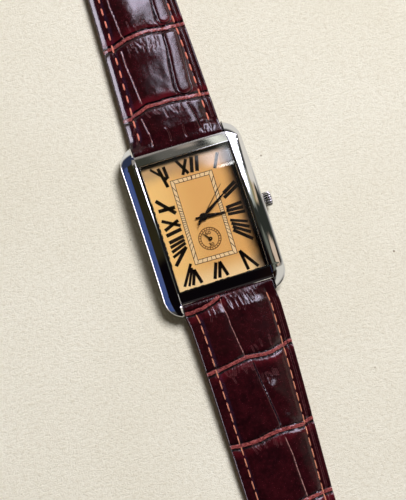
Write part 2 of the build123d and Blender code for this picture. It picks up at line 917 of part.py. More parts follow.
def make_winding_stem():
    end = crown_outer_face - crown_length / 3
    inner = shaft(stem_inner_end, stem_groove_start, 0, stem_height, stem_radius)
    groove_end = stem_groove_start + stem_groove_width
    neck = shaft(stem_groove_start, groove_end, 0, stem_height, stem_neck_radius)
    outer = shaft(groove_end, end, 0, stem_height, stem_radius)
    return fused(inner, neck, outer)


def make_crown():
    """Fluted head, hollow over the crown tube, with a rounded outer face."""
    knurl_end = crown_outer_face - crown_rim
    head = shaft(crown_inner_face, crown_outer_face, 0, stem_height, crown_radius)
    rims = head.edges()
    head = chamfer(rims, crown_rim / 2)
    for index in range(crown_flutes):
        angle = 2 * math.pi * index / crown_flutes
        y = crown_radius * math.cos(angle)
        z = stem_height + crown_radius * math.sin(angle)
        head -= shaft(crown_inner_face + crown_rim, knurl_end, y, z, crown_flute_depth)
    pocket_end = tube_end + crown_pull_travel / 3
    head -= shaft(crown_inner_face, pocket_end, 0, stem_height, crown_pocket_radius)
    end = crown_outer_face - crown_length / 3
    return head - shaft(crown_inner_face, end, 0, stem_height, stem_radius)


def make_crown_tube():
    tube = shaft(tube_inner_end, tube_end, 0, stem_height, tube_outer_radius)
    return tube - shaft(tube_inner_end, tube_end, 0, stem_height, tube_bore_radius)


def make_crown_gasket():
    """O-ring in the crown, round the tube."""
    x = crown_inner_face + crown_seal_inset
    radius = tube_outer_radius + crown_seal_radius + running_gap / 2
    return Pos(x, 0, stem_height) * Rot(0, 90, 0) * Torus(radius, crown_seal_radius)


def lever_pin_x(side):
    """X of the lever's pin with the crown pushed in (-1) or pulled out (1)."""
    middle = stem_groove_start + stem_groove_width / 2 + crown_pull_travel / 2
    return middle + side * crown_pull_travel / 2


def lever_pivot():
    return lever_pin_x(0), -lever_pivot_drop


def make_setting_lever():
    """Lever whose pin stands in the stem's groove, swung to its pushed-in place."""
    px, py = lever_pivot()
    tip_x, tip_y = polar(px, py, lever_arm, 90 + lever_swing / 2)
    top = lever_bottom + lever_thickness
    arm = extrude(Pos(0, 0, lever_bottom) * capsule(px, py, tip_x, tip_y, lever_width), lever_thickness)
    pin = post(tip_x, tip_y, top, stem_height + stem_neck_radius, lever_pin_radius)
    body = arm + pin
    return body - post(px, py, lever_bottom, top, lever_pin_radius + pivot_clearance)


def capsule(x0, y0, x1, y1, width):
    """Flat link with round ends between two points."""
    length = math.hypot(x1 - x0, y1 - y0)
    turn = direction_to(x0, y0, x1, y1)
    middle = Pos((x0 + x1) / 2, (y0 + y1) / 2)
    return middle * Rot(0, 0, turn) * SlotCenterToCenter(length, width)


def make_setting_lever_screw():
    px, py = lever_pivot()
    low = lever_bottom - movement_screw_head_height
    head = post(px, py, low, lever_bottom, lever_width / 2)
    return head + post(px, py, lever_bottom, plate_top, lever_pin_radius)


# Hands

def hand_turn(angle):
    """Turns a hand drawn along +Y clockwise, as seen on the dial."""
    return Rot(0, 0, -angle)


def leaf_hand(length, tail, width, hub_radius):
    """Hand that widens from its hub to a shoulder and narrows to a point, with a short tail."""
    tip = width / 12
    shoulder = length / 4
    points = [
        (-width / 4, -tail),
        (width / 4, -tail),
        (width / 8, 0),
        (width / 2, shoulder),
        (tip, length),
        (-tip, length),
        (-width / 2, shoulder),
        (-width / 8, 0),
    ]
    return make_face(Polyline(*points, close=True)) + Circle(hub_radius)


def make_hand(face, angle, x, y, level, bore):
    place = Pos(x, y, level) * hand_turn(angle)
    body = extrude(place * face, hand_thickness)
    return body - post(x, y, level, level + hand_thickness, bore)


def make_hour_hand():
    face = leaf_hand(hour_hand_length, hour_hand_tail, hour_hand_width, hand_hub_radius)
    return make_hand(face, hour_hand_angle, 0, 0, hour_hand_level, hour_tube_radius)


def make_minute_hand():
    face = leaf_hand(minute_hand_length, minute_hand_tail, minute_hand_width, minute_hub_radius)
    return make_hand(face, minute_hand_angle, 0, 0, minute_hand_level, cannon_tube_radius)


def make_seconds_hand():
    half = seconds_hand_width / 2
    tail = seconds_tail_width / 2
    points = [
        (-tail, -seconds_hand_tail),
        (tail, -seconds_hand_tail),
        (half, 0),
        (half / 2, seconds_hand_length),
        (-half / 2, seconds_hand_length),
        (-half, 0),
    ]
    face = make_face(Polyline(*points, close=True)) + Circle(seconds_hub_radius)
    hand = make_hand(face, seconds_hand_angle, 0, 0, seconds_hand_level, seconds_arbor_radius)
    top = seconds_hand_level + hand_thickness
    cap = post(0, 0, top, top + seconds_cap_height, seconds_hub_radius)
    return hand + cap


def make_small_seconds_hand():
    half = small_hand_width / 2
    points = [(-half, 0), (half, 0), (half / 2, small_hand_length), (-half / 2, small_hand_length)]
    face = make_face(Polyline(*points, close=True)) + Circle(small_hub_radius)
    y = -small_seconds_offset
    return make_hand(face, small_hand_angle, 0, y, small_hand_level, small_arbor_radius)


# Spring bars

def bar_barrel(half_span, y):
    """Barrel open at both ends for its sprung tips."""
    end = half_span - bar_barrel_end_gap
    body = shaft(-end, end, y, bar_height, bar_barrel_radius)
    for side in (-1, 1):
        low, high = sorted((side * end, side * (end - bar_bore_depth)))
        body -= shaft(low, high, y, bar_height, bar_bore_radius)
    return body


def bar_tip(half_span, y, side):
    """Plunger in the barrel, with the thin pin that enters its hole."""
    shoulder = half_span - running_gap
    inner = shoulder - bar_tip_shoulder_length
    low, high = sorted((side * inner, side * shoulder))
    plunger = shaft(low, high, y, bar_height, bar_tip_shoulder_radius)
    low, high = sorted((side * shoulder, side * (shoulder + bar_tip_pin_length)))
    return plunger + shaft(low, high, y, bar_height, bar_tip_pin_radius)


def make_spring_bar_barrels():
    return Compound(children=[bar_barrel(half_gap, bar_offset), bar_barrel(half_gap, -bar_offset)])


# Strap. Each half is made along +Y from its bar and turned to its place.

def strap_half_width(station):
    share = min(station / strap_taper_length, 1)
    return (strap_width + (strap_end_width - strap_width) * share) / 2


def strap_face(station, height, drop, inset, base, wall):
    """Cross-section at a station: flat base, upright edges and a rounded top."""
    half = strap_half_width(station) - inset
    low = bar_height - height / 2 - drop + base
    top = bar_height + height / 2 - drop - wall
    edge = top - (top - low) * strap_crown_share
    outline = Line((-half, low), (half, low))
    outline += Line((half, low), (half, edge))
    outline += ThreePointArc((half, edge), (0, top), (-half, edge))
    outline += Line((-half, edge), (-half, low))
    y = bar_offset + station
    return Plane(origin=(0, y, 0), x_dir=(1, 0, 0), z_dir=(0, -1, 0)) * make_face(outline)


def lining_face(station, height, drop):
    half = strap_half_width(station)
    low = bar_height - height / 2 - drop
    outline = Polyline(
        (-half, low),
        (half, low),
        (half, low + lining_thickness),
        (-half, low + lining_thickness),
        close=True,
    )
    y = bar_offset + station
    return Plane(origin=(0, y, 0), x_dir=(1, 0, 0), z_dir=(0, -1, 0)) * make_face(outline)


def half_stations(length, end_drop):
    """Stations of one half: place, height there, and how far its middle has sunk."""
    return [
        (strap_shoulder, 2 * strap_loop_radius, 0),
        (strap_pad_start, strap_pad_height, 0),
        (strap_pad_station, strap_pad_height, 0),
        (strap_mid_station, strap_mid_height, end_drop * 3 / 4),
        (length, strap_end_height, end_drop),
    ]


def strap_top(length, end_drop):
    """Padded top leather, with the pocket that its filler lies in."""
    stations = half_stations(length, end_drop)
    body = loft_through(
        [strap_face(s, h, d, 0, lining_thickness, 0) for s, h, d in stations]
    )
    pocket = strap_pocket(length, end_drop)
    return body - pocket


def loft_through(faces):
    """Straight-sided spans between neighbouring sections."""
    body = loft(faces[0:2], ruled=True)
    for index in range(1, len(faces) - 1):
        body += loft(faces[index:index + 2], ruled=True)
    return body


def strap_pocket(length, end_drop):
    stations = [entry for entry in half_stations(length, end_drop) if entry[0] > strap_pad_start]
    stations = [entry for entry in stations if entry[0] < filler_reach]
    faces = [
        strap_face(s, h, d, filler_inset, lining_thickness, filler_wall) for s, h, d in stations
    ]
    return loft_through(faces) if len(faces) > 2 else loft(faces, ruled=True)


def strap_lining(length, end_drop):
    return loft_through([lining_face(s, h, d) for s, h, d in half_stations(length, end_drop)])


def bar_loop():
    """Leather turned round the spring bar."""
    half = strap_width / 2
    return shaft(-half, half, bar_offset, bar_height, strap_loop_radius)


def bar_hole():
    half = strap_width
    radius = bar_barrel_radius + strap_bore_clearance
    return shaft(-half, half, bar_offset, bar_height, radius)


def buckle_loop():
    """End of the short half, turned round the buckle's bar."""
    half = strap_end_width / 2
    radius = strap_end_height / 2
    y = bar_offset + short_half_length
    roll = shaft(-half, half, y, bar_height, radius)
    return roll


def buckle_cuts():
    """Bar hole and tongue slot at the buckle end."""
    y = bar_offset + short_half_length
    radius = bar_barrel_radius + strap_bore_clearance
    hole = shaft(-strap_width, strap_width, y, bar_height, radius)
    half = tongue_slot_width / 2
    reach = y - tongue_slot_length
    slot = block(-half, half, reach, y + overrun, bar_height - overrun, bar_height + overrun)
    return hole + slot


def make_strap_12_top():
    body = strap_top(short_half_length, 0) + bar_loop() + upper_part(buckle_loop())
    body -= bar_hole()
    return body - buckle_cuts()


def upper_part(roll):
    """The part of the end roll above the lining."""
    level = bar_height - strap_end_height / 2 + lining_thickness
    low = bar_height - overrun
    return roll - block(-strap_width, strap_width, 0, case_length * 3, low, level)


def make_strap_12_lining():
    return strap_lining(short_half_length, 0) - bar_hole() - bar_loop() - buckle_cuts()


def make_strap_12_filler():
    return strap_pocket(short_half_length, 0)


def long_drop():
    """How far the long half's end sinks so that its tip lies just above the table."""
    return bar_height - strap_end_height / 2 - long_tip_lift


def to_six(body):
    """Turns a half made towards 12 o'clock round to 6 o'clock."""
    return Rot(0, 0, 180) * body


def tip_outline():
    """Plan of the long half, with its tip narrowed to a rounded point."""
    end = bar_offset + long_half_length
    start = end - long_tip_taper
    half = strap_end_width / 2
    wide = strap_width
    near = bar_offset - overrun
    outline = Line((-wide, near), (wide, near))
    outline += Line((wide, near), (wide, start))
    outline += Line((wide, start), (half, start))
    outline += Line((half, start), (long_tip_width / 2, end - long_tip_width / 4))
    middle = (0, end)
    left = (-long_tip_width / 2, end - long_tip_width / 4)
    outline += ThreePointArc((long_tip_width / 2, end - long_tip_width / 4), middle, left)
    outline += Line(left, (-half, start))
    outline += Line((-half, start), (-wide, start))
    outline += Line((-wide, start), (-wide, near))
    return extrude(Pos(0, 0, -overrun) * make_face(outline), 4 * overrun)


def strap_holes():
    holes = []
    end = bar_offset + long_half_length
    for index in range(strap_hole_count):
        y = end - strap_hole_start - index * strap_hole_pitch
        holes.append(post(0, y, -overrun, 2 * overrun, strap_hole_radius))
    return holes


def make_strap_6_top():
    body = strap_top(long_half_length, long_drop()) & tip_outline()
    body = body + bar_loop() - bar_hole()
    for hole in strap_holes():
        body -= hole
    return to_six(body)


def make_strap_6_lining():
    body = strap_lining(long_half_length, long_drop()) & tip_outline()
    body = body - bar_hole() - bar_loop()
    for hole in strap_holes():
        body -= hole
    return to_six(body)


def make_strap_6_filler():
    return to_six(strap_pocket(long_half_length, long_drop()))


# Keepers

def keeper(station, widest):
    """Loop of leather round the strap, tall enough for both halves."""
    y = bar_offset + station
    inner_half = strap_half_width(widest) + keeper_side_gap
    low = keeper_base(widest)
    outer_half = inner_half + keeper_wall
    high = low + keeper_wall * 2 + keeper_height
    middle = (low + high) / 2
    outer = RectangleRounded(2 * outer_half, high - low, keeper_corner_radius)
    inner = RectangleRounded(2 * inner_half, keeper_height, keeper_corner_radius / 2)
    plane = Plane(origin=(0, y, middle), x_dir=(1, 0, 0), z_dir=(0, -1, 0))
    return extrude(plane * (outer - inner), keeper_width / 2, both=True)


def keeper_base(widest):
    """Underside of a keeper, a small gap below the strap at its widest station."""
    return bar_height - short_half_height(widest) / 2 - keeper_side_gap / 2 - keeper_wall


def short_half_height(station):
    """Height of the short half at a station, from the stations on both sides."""
    table = half_stations(short_half_length, 0)
    for (near, near_height, _), (far, far_height, _) in zip(table, table[1:]):
        if near <= station <= far:
            return near_height + (far_height - near_height) * (station - near) / (far - near)
    return strap_end_height


def make_fixed_keeper():
    return keeper(fixed_keeper_station, fixed_keeper_station - keeper_width / 2)


def make_sliding_keeper():
    return keeper(sliding_keeper_station, sliding_keeper_station - keeper_width / 2)


# Buckle

buckle_y = bar_offset + short_half_length
buckle_half = buckle_opening / 2


def make_buckle_frame():
    """Pin buckle frame: two arms with eyes on the bar, joined by a rounded cross bar."""
    outer_half = buckle_half + buckle_arm
    length = buckle_reach + buckle_bar_width
    low = bar_height - buckle_height / 2
    plan = Pos(0, length / 2) * RectangleRounded(2 * outer_half, length, buckle_corner_radius)
    hole_length = 2 * buckle_reach
    hole = Pos(0, 0) * RectangleRounded(2 * buckle_half, hole_length, buckle_inner_radius)
    square = Pos(0, length / 4) * Rectangle(2 * outer_half, length / 2)
    face = (plan + square) - hole
    body = extrude(Pos(0, buckle_y, low) * face, buckle_height)
    top = body.faces().sort_by(Axis.Z)[-1]
    body = chamfer(top.edges(), buckle_height / 6)
    for side in (-1, 1):
        near, far = sorted((side * buckle_half, side * outer_half))
        body += shaft(near, far, buckle_y, bar_height, buckle_eye_radius)
    hole_end = buckle_half + lug_hole_depth
    body -= shaft(-hole_end, hole_end, buckle_y, bar_height, lug_hole_radius)
    notch_half = tongue_width / 2 + buckle_bar_clearance
    seat = tongue_seat()
    notch_end = buckle_y + length + overrun
    start = buckle_y + buckle_reach / 2
    return body - block(-notch_half, notch_half, start, notch_end, seat, bar_height + overrun)


def tongue_seat():
    """Height of the notch floor in the cross bar, where the tongue rests."""
    return bar_height + buckle_height / 2 - tongue_thickness / 2


def make_buckle_tongue():
    """Tongue with an eye on the bar, resting in the notch of the cross bar."""
    half = tongue_width / 2
    eye = shaft(-half, half, buckle_y, bar_height, tongue_eye_radius)
    seat = tongue_seat() + running_gap
    top = seat + tongue_thickness
    end = buckle_y + buckle_reach + buckle_bar_width - tongue_overhang
    points = [
        (buckle_y, bar_height - tongue_thickness / 2),
        (buckle_y + tongue_eye_radius, bar_height - tongue_thickness / 2),
        (end - buckle_bar_width, seat),
        (end, seat),
        (end, seat + tongue_thickness / 2),
        (end - tongue_thickness / 2, top),
        (end - buckle_bar_width, top),
        (buckle_y, bar_height + tongue_eye_radius),
    ]
    blade = slab_along_x(Polyline(*points, close=True), half)
    radius = bar_barrel_radius + buckle_bar_clearance
    return (eye + blade) - shaft(-strap_width, strap_width, buckle_y, bar_height, radius)


def make_buckle_bar():
    return bar_barrel(buckle_half, buckle_y)


parts = {
    "case_middle": make_case_middle,
    "crystal": make_crystal,
    "crystal_gasket": make_crystal_gasket,
    "dial": make_dial,
    "movement_ring": make_movement_ring,
    "case_back": make_case_back,
    "case_back_seal": make_case_back_seal,
    "case_back_screws": make_case_back_screws,
    "crown_tube": make_crown_tube,
    "winding_stem": make_winding_stem,
    "crown": make_crown,
    "crown_gasket": make_crown_gasket,
    "setting_lever": make_setting_lever,
    "setting_lever_screw": make_setting_lever_screw,
    "main_plate": make_main_plate,
    "train_bridge": make_train_bridge,
    "movement_screws": make_movement_screws,
    "seconds_wheel": make_seconds_wheel,
    "third_wheel": make_third_wheel,
    "centre_wheel": make_centre_wheel,
    "minute_wheel": make_minute_wheel,
    "hour_wheel": make_hour_wheel,
    "intermediate_wheel": make_intermediate_wheel,
    "rotor": make_rotor,
    "small_seconds_pinion": make_small_seconds_pinion,
    "stator": make_stator,
    "coil_core": make_coil_core,
    "coil_winding": make_coil_winding,
    "battery": make_battery,
    "battery_clamp": make_battery_clamp,
    "circuit_board": make_circuit_board,
    "control_chip": make_control_chip,
    "quartz_can": make_quartz_can,
    "hour_hand": make_hour_hand,
    "minute_hand": make_minute_hand,
    "seconds_hand": make_seconds_hand,
    "small_seconds_hand": make_small_seconds_hand,
    "spring_bar_barrels": make_spring_bar_barrels,
    "strap_12_top": make_strap_12_top,
    "strap_12_filler": make_strap_12_filler,
    "strap_12_lining": make_strap_12_lining,
    "strap_6_top": make_strap_6_top,
    "strap_6_filler": make_strap_6_filler,
    "strap_6_lining": make_strap_6_lining,
    "fixed_keeper": make_fixed_keeper,
    "sliding_keeper": make_sliding_keeper,
    "buckle_frame": make_buckle_frame,
    "buckle_tongue": make_buckle_tongue,
    "buckle_bar_barrel": make_buckle_bar,
}

tip_places = {
    "bar_tip_12_left": (half_gap, bar_offset, -1),
    "bar_tip_12_right": (half_gap, bar_offset, 1),
    "bar_tip_6_left": (half_gap, -bar_offset, -1),
    "bar_tip_6_right": (half_gap, -bar_offset, 1),
    "buckle_bar_tip_left": (buckle_half, buckle_y, -1),
    "buckle_bar_tip_right": (buckle_half, buckle_y, 1),
}

os.makedirs("parts", exist_ok=True)
for name, make in parts.items():
    export_step(make(), f"parts/{name}.step")
for name, (half_span, y, side) in tip_places.items():
    export_step(bar_tip(half_span, y, side), f"parts/{name}.step")
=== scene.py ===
import json
import math

import bpy
import numpy as np
from mathutils import Matrix, Vector


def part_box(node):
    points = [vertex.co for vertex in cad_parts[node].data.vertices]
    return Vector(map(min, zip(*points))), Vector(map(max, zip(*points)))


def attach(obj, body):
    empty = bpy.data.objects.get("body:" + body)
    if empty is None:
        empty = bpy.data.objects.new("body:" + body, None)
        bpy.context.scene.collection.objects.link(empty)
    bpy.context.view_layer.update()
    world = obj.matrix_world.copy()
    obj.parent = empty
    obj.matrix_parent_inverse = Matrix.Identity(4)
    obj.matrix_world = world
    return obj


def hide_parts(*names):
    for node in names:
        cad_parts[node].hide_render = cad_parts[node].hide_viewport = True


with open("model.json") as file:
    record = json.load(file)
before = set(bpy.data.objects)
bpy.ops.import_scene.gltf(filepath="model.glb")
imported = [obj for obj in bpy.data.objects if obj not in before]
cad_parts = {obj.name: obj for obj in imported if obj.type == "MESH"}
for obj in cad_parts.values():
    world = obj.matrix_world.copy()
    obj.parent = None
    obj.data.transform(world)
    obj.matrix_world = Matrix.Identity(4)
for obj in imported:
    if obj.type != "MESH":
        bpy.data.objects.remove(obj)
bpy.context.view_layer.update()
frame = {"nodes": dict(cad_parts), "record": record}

nodes = frame["nodes"]
slot_of = {entry["node"]: entry["material_slot"] for entry in frame["record"]["subparts"]}


# Shape helpers
# Every length here is in millimetres until mesh_from turns it into metres.

def grid_quads(rows, columns, loop=False, first=0):
    """Quads of a grid of closed rows. A loop joins the last row to the first."""
    across = np.arange(columns)
    along = np.arange(rows if loop else rows - 1)
    r, c = np.meshgrid(along, across, indexing="ij")
    r2, c2 = (r + 1) % rows, (c + 1) % columns
    corners = np.stack([r * columns + c, r * columns + c2, r2 * columns + c2, r2 * columns + c], axis=-1)
    return corners.reshape(-1, 4) + first


def end_caps(rows, columns, first=0):
    """One flat face over each end of a grid of closed rows."""
    near = np.arange(columns)[::-1][None, :] + first
    far = np.arange(columns)[None, :] + (rows - 1) * columns + first
    return [near, far]


def repeated(group, count, size):
    """The same faces on each of count copies of a piece with size points."""
    shift = (np.arange(count) * size)[:, None, None]
    return (group[None] + shift).reshape(-1, group.shape[1])


def signed_volume(points, faces):
    """Sum of the tetrahedra from the origin to every face, fanned from its first corner."""
    total = 0.0
    for group in faces:
        a = points[group[:, 0]]
        for k in range(1, group.shape[1] - 1):
            b, c = points[group[:, k]], points[group[:, k + 1]]
            total += np.einsum("ij,ij->", a, np.cross(b, c))
    return total


def mesh_from(name, points, faces, layers=None, sharp=28.0):
    """Mesh object from an array of points in millimetres and groups of faces, turned to face outwards. A
    layer is one value per point, and edges that bend by more than sharp degrees stay crisp."""
    points = np.asarray(points, dtype=float).reshape(-1, 3)
    if signed_volume(points, faces) < 0:
        faces = [group[:, ::-1] for group in faces]
    loops = np.concatenate([group.ravel() for group in faces]).astype(np.int32)
    counts = np.concatenate([np.full(len(group), group.shape[1]) for group in faces])
    starts = np.concatenate([[0], np.cumsum(counts)[:-1]]).astype(np.int32)
    mesh = bpy.data.meshes.new(name)
    mesh.vertices.add(len(points))
    mesh.vertices.foreach_set("co", (points / 1000).astype(np.float32).ravel())
    mesh.loops.add(len(loops))
    mesh.loops.foreach_set("vertex_index", loops)
    mesh.polygons.add(len(counts))
    mesh.polygons.foreach_set("loop_start", starts)
    mesh.update(calc_edges=True)
    mesh.polygons.foreach_set("use_smooth", np.ones(len(counts), dtype=bool))
    mesh.set_sharp_from_angle(angle=math.radians(sharp))
    for key, values in (layers or {}).items():
        layer = mesh.attributes.new(key, "FLOAT", "POINT")
        layer.data.foreach_set("value", np.asarray(values, dtype=np.float32).ravel())
    mesh.validate()
    thing = bpy.data.objects.new(name, mesh)
    bpy.context.scene.collection.objects.link(thing)
    return thing


def dress(thing, finish, body, slot, *stands_for):
    """Gives a new piece its finish and its body, and hides the solids that it stands for. The slot is not
    used.
    """
    thing.data.materials.clear()
    thing.data.materials.append(finish)
    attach(thing, body)
    if stands_for:
        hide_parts(*stands_for)
    return thing


def smooth(x, low, high):
    """Rises from 0 at low to 1 at high, level at both ends."""
    t = np.clip((np.asarray(x, dtype=float) - low) / (high - low), 0, 1)
    return t * t * (3 - 2 * t)


def cut(thing, cutter):
    """Takes the cutter's volume out of a closed piece and removes the cutter."""
    step = thing.modifiers.new("cut", "BOOLEAN")
    step.operation = "DIFFERENCE"
    step.solver = "MANIFOLD"
    step.object = cutter
    bpy.context.view_layer.update()
    graph = bpy.context.evaluated_depsgraph_get()
    result = bpy.data.meshes.new_from_object(thing.evaluated_get(graph))
    thing.modifiers.clear()
    old = thing.data
    thing.data = result
    bpy.data.meshes.remove(old)
    result.name = thing.name
    bpy.data.objects.remove(cutter, do_unlink=True)
    result.set_sharp_from_angle(angle=math.radians(32))


def rods(name, centres, radius, low, high, axis):
    """Closed cylinders of one radius along X or Z, one per centre, as cutters."""
    steps = 40
    centres = np.asarray(centres, dtype=float)
    turn = np.linspace(0, 2 * np.pi, steps, endpoint=False)
    ends = np.array([low, high])
    ring_a = np.broadcast_to(radius * np.cos(turn), (len(centres), 2, steps))
    ring_b = np.broadcast_to(radius * np.sin(turn), (len(centres), 2, steps))
    level = np.broadcast_to(ends[None, :, None], (len(centres), 2, steps))
    first = centres[:, 0][:, None, None]
    second = centres[:, 1][:, None, None]
    if axis == "x":
        points = np.stack([level, first + ring_a, second + ring_b], axis=-1)
    else:
        points = np.stack([first + ring_a, second + ring_b, level], axis=-1)
    faces = []
    for k in range(len(centres)):
        faces += [grid_quads(2, steps, first=k * 2 * steps)] + end_caps(2, steps, first=k * 2 * steps)
    return mesh_from(name, points, faces)


# Finishes

def join(tree, socket, value):
    """Links a socket to the one given, or sets its value."""
    if isinstance(value, bpy.types.NodeSocket):
        tree.links.new(value, socket)
    else:
        socket.default_value = value


def node(tree, kind, inputs=None, **settings):
    """A new shader node with its settings and its inputs."""
    made = tree.nodes.new(kind)
    for key, value in settings.items():
        setattr(made, key, value)
    for key, value in (inputs or {}).items():
        join(tree, made.inputs[key], value)
    return made


def maths(tree, operation, *values):
    """One sum, product or other operation on the values given."""
    return node(tree, "ShaderNodeMath", dict(enumerate(values)), operation=operation).outputs[0]


def mix(tree, share, a, b):
    """Colour a where share is 0 and colour b where it is 1."""
    made = node(tree, "ShaderNodeMix", {"Factor": share}, data_type="RGBA")
    ends = [socket for socket in made.inputs if socket.type == "RGBA"]
    for socket, value in zip(ends, (a, b)):
        join(tree, socket, value)
    return next(socket for socket in made.outputs if socket.type == "RGBA")


def shade(red, green, blue):
    """Linear colour of an sRGB colour written in bytes."""
    parts = []
    for byte in (red, green, blue):
        c = byte / 255
        parts.append(c / 12.92 if c <= 0.04045 else ((c + 0.055) / 1.055) ** 2.4)
    return (*parts, 1.0)


class Finish:
    """A procedural finish under construction: its tree, its surface node and its coordinates in
    millimetres."""

    def __init__(self, name, **inputs):
        self.material = bpy.data.materials.new(name)
        self.material.use_nodes = True
        self.tree = self.material.node_tree
        self.surface = self.tree.nodes["Principled BSDF"]
        for key, value in inputs.items():
            self.surface.inputs[key.replace("_", " ")].default_value = value
        place = node(self.tree, "ShaderNodeTexCoord").outputs["Object"]
        scaled = node(self.tree, "ShaderNodeVectorMath", {0: place, "Scale": 1000.0}, operation="SCALE")
        self.place = scaled.outputs[0]

    def axes(self):
        """The three coordinates, each by itself."""
        parts = node(self.tree, "ShaderNodeSeparateXYZ", {0: self.place})
        return parts.outputs["X"], parts.outputs["Y"], parts.outputs["Z"]

    def stretch(self, sx, sy, sz):
        """The coordinates with a scale of their own along each axis, for a pattern that runs one way."""
        return node(self.tree, "ShaderNodeMapping", {"Vector": self.place, "Scale": (sx, sy, sz)}).outputs[0]

    def noise(self, scale, detail=3.0, rough=0.55, vector=None, distortion=0.0):
        inputs = {"Vector": vector or self.place, "Scale": scale, "Detail": detail}
        inputs |= {"Roughness": rough, "Distortion": distortion}
        return node(self.tree, "ShaderNodeTexNoise", inputs).outputs["Fac"]

    def cells(self, scale):
        """Distance to the nearest of many scattered points."""
        inputs = {"Vector": self.place, "Scale": scale}
        return node(self.tree, "ShaderNodeTexVoronoi", inputs).outputs["Distance"]

    def layer(self, name):
        """A value that the mesh carries at its points."""
        return node(self.tree, "ShaderNodeAttribute", attribute_name=name).outputs["Fac"]

    def span(self, value, a, b, c, d, eased=False):
        """Maps value from a..b to c..d, clamped."""
        kind = "SMOOTHSTEP" if eased else "LINEAR"
        inputs = {"Value": value, "From Min": a, "From Max": b, "To Min": c, "To Max": d}
        return node(self.tree, "ShaderNodeMapRange", inputs, interpolation_type=kind).outputs["Result"]

    def maths(self, operation, *values):
        return maths(self.tree, operation, *values)

    def plus(self, a, b):
        return self.maths("ADD", a, b)

    def minus(self, a, b):
        return self.maths("SUBTRACT", a, b)

    def times(self, a, b):
        return self.maths("MULTIPLY", a, b)

    def gap(self, a, b):
        """How far a is from b, either way."""
        return self.maths("ABSOLUTE", self.minus(a, b))

    def blend(self, share, a, b):
        return mix(self.tree, share, a, b)

    def bump(self, height, strength, distance):
        """Adds a bump on top of the ones before it. Distance is in millimetres."""
        inputs = {"Height": height, "Strength": strength, "Distance": distance / 1000}
        normal = self.surface.inputs["Normal"]
        if normal.is_linked:
            inputs["Normal"] = normal.links[0].from_socket
        made = node(self.tree, "ShaderNodeBump", inputs)
        self.put("Normal", made.outputs["Normal"])
        self.put("Coat Normal", made.outputs["Normal"])

    def put(self, socket, value):
        self.tree.links.new(value, self.surface.inputs[socket])


def polished_steel():
    """Nearly white steel with a faint haze and fine scratches along y."""
    f = Finish("polished_steel", Metallic=1.0, Roughness=0.07)
    cloud = f.noise(0.35, 4)
    f.put("Base Color", f.blend(cloud, shade(222, 222, 226), shade(236, 235, 232)))
    f.put("Roughness", f.span(f.noise(3.0, 4), 0.3, 0.75, 0.02, 0.045))
    scratch = f.noise(1.0, 2, vector=f.stretch(14, 0.6, 14))
    f.bump(scratch, 0.05, 0.004)
    return f.material


def crown_steel():
    """Polished steel with painted shade in its grooves: darker where the distance to the crown's axis is
    short.
    """
    f = Finish("crown_steel", Metallic=1.0, Roughness=0.1)
    x, y, z = f.axes()
    z = f.minus(z, crown_z)
    radius = f.maths("SQRT", f.plus(f.times(y, y), f.times(z, z)))
    ridged = f.times(f.span(x, 14.85, 15.0, 0.0, 1.0), f.span(x, 16.45, 16.6, 1.0, 0.0))
    # painted shade in the flutes, where the crown's radius dips
    deep = f.times(f.span(radius, 1.6, 1.71, 0.95, 0.0), ridged)
    cloud = f.blend(f.noise(0.8, 4), shade(206, 205, 204), shade(226, 224, 220))
    f.put("Base Color", f.blend(deep, cloud, shade(34, 32, 30)))
    f.put("Roughness", f.span(f.noise(3.0, 4), 0.3, 0.75, 0.06, 0.14))
    return f.material


def brushed_steel(name, low, high, grain, rough=0.3):
    """Metal with fine brush lines. Grain is their scale along x, y and z, and they run where it is
    smallest."""
    f = Finish(name, Metallic=1.0, Roughness=rough)
    lines = f.noise(1.0, 3, vector=f.stretch(*grain))
    f.put("Base Color", f.blend(lines, low, high))
    f.put("Roughness", f.span(lines, 0.2, 0.8, rough - 0.07, rough + 0.1))
    f.bump(lines, 0.25, 0.02)
    return f.material


def sapphire():
    """Clear glass. Shadow rays and rays from matt surfaces pass straight through it, so the dial gets its
    light."""
    f = Finish("crystal_glass", Roughness=0.0, IOR=1.6, Transmission_Weight=1.0)
    smear = f.noise(0.25, 3)
    f.put("Base Color", f.blend(smear, (0.985, 0.99, 0.99, 1), (1, 1, 1, 1)))
    path = node(f.tree, "ShaderNodeLightPath")
    clear = node(f.tree, "ShaderNodeBsdfTransparent", {"Color": (0.97, 0.975, 0.975, 1)})
    either = f.maths("MAXIMUM", path.outputs["Is Shadow Ray"], path.outputs["Is Diffuse Ray"])
    mixed = node(f.tree, "ShaderNodeMixShader", {"Fac": either, 1: f.surface.outputs[0], 2: clear.outputs[0]})
    f.tree.links.new(mixed.outputs[0], f.tree.nodes["Material Output"].inputs["Surface"])
    return f.material


def rubber():
    """Matt black, slightly mottled."""
    f = Finish("black_rubber", Roughness=0.5, Specular_IOR_Level=0.25)
    speck = f.noise(6.0, 3)
    f.put("Base Color", f.blend(speck, shade(5, 5, 6), shade(16, 15, 17)))
    f.bump(speck, 0.2, 0.02)
    return f.material


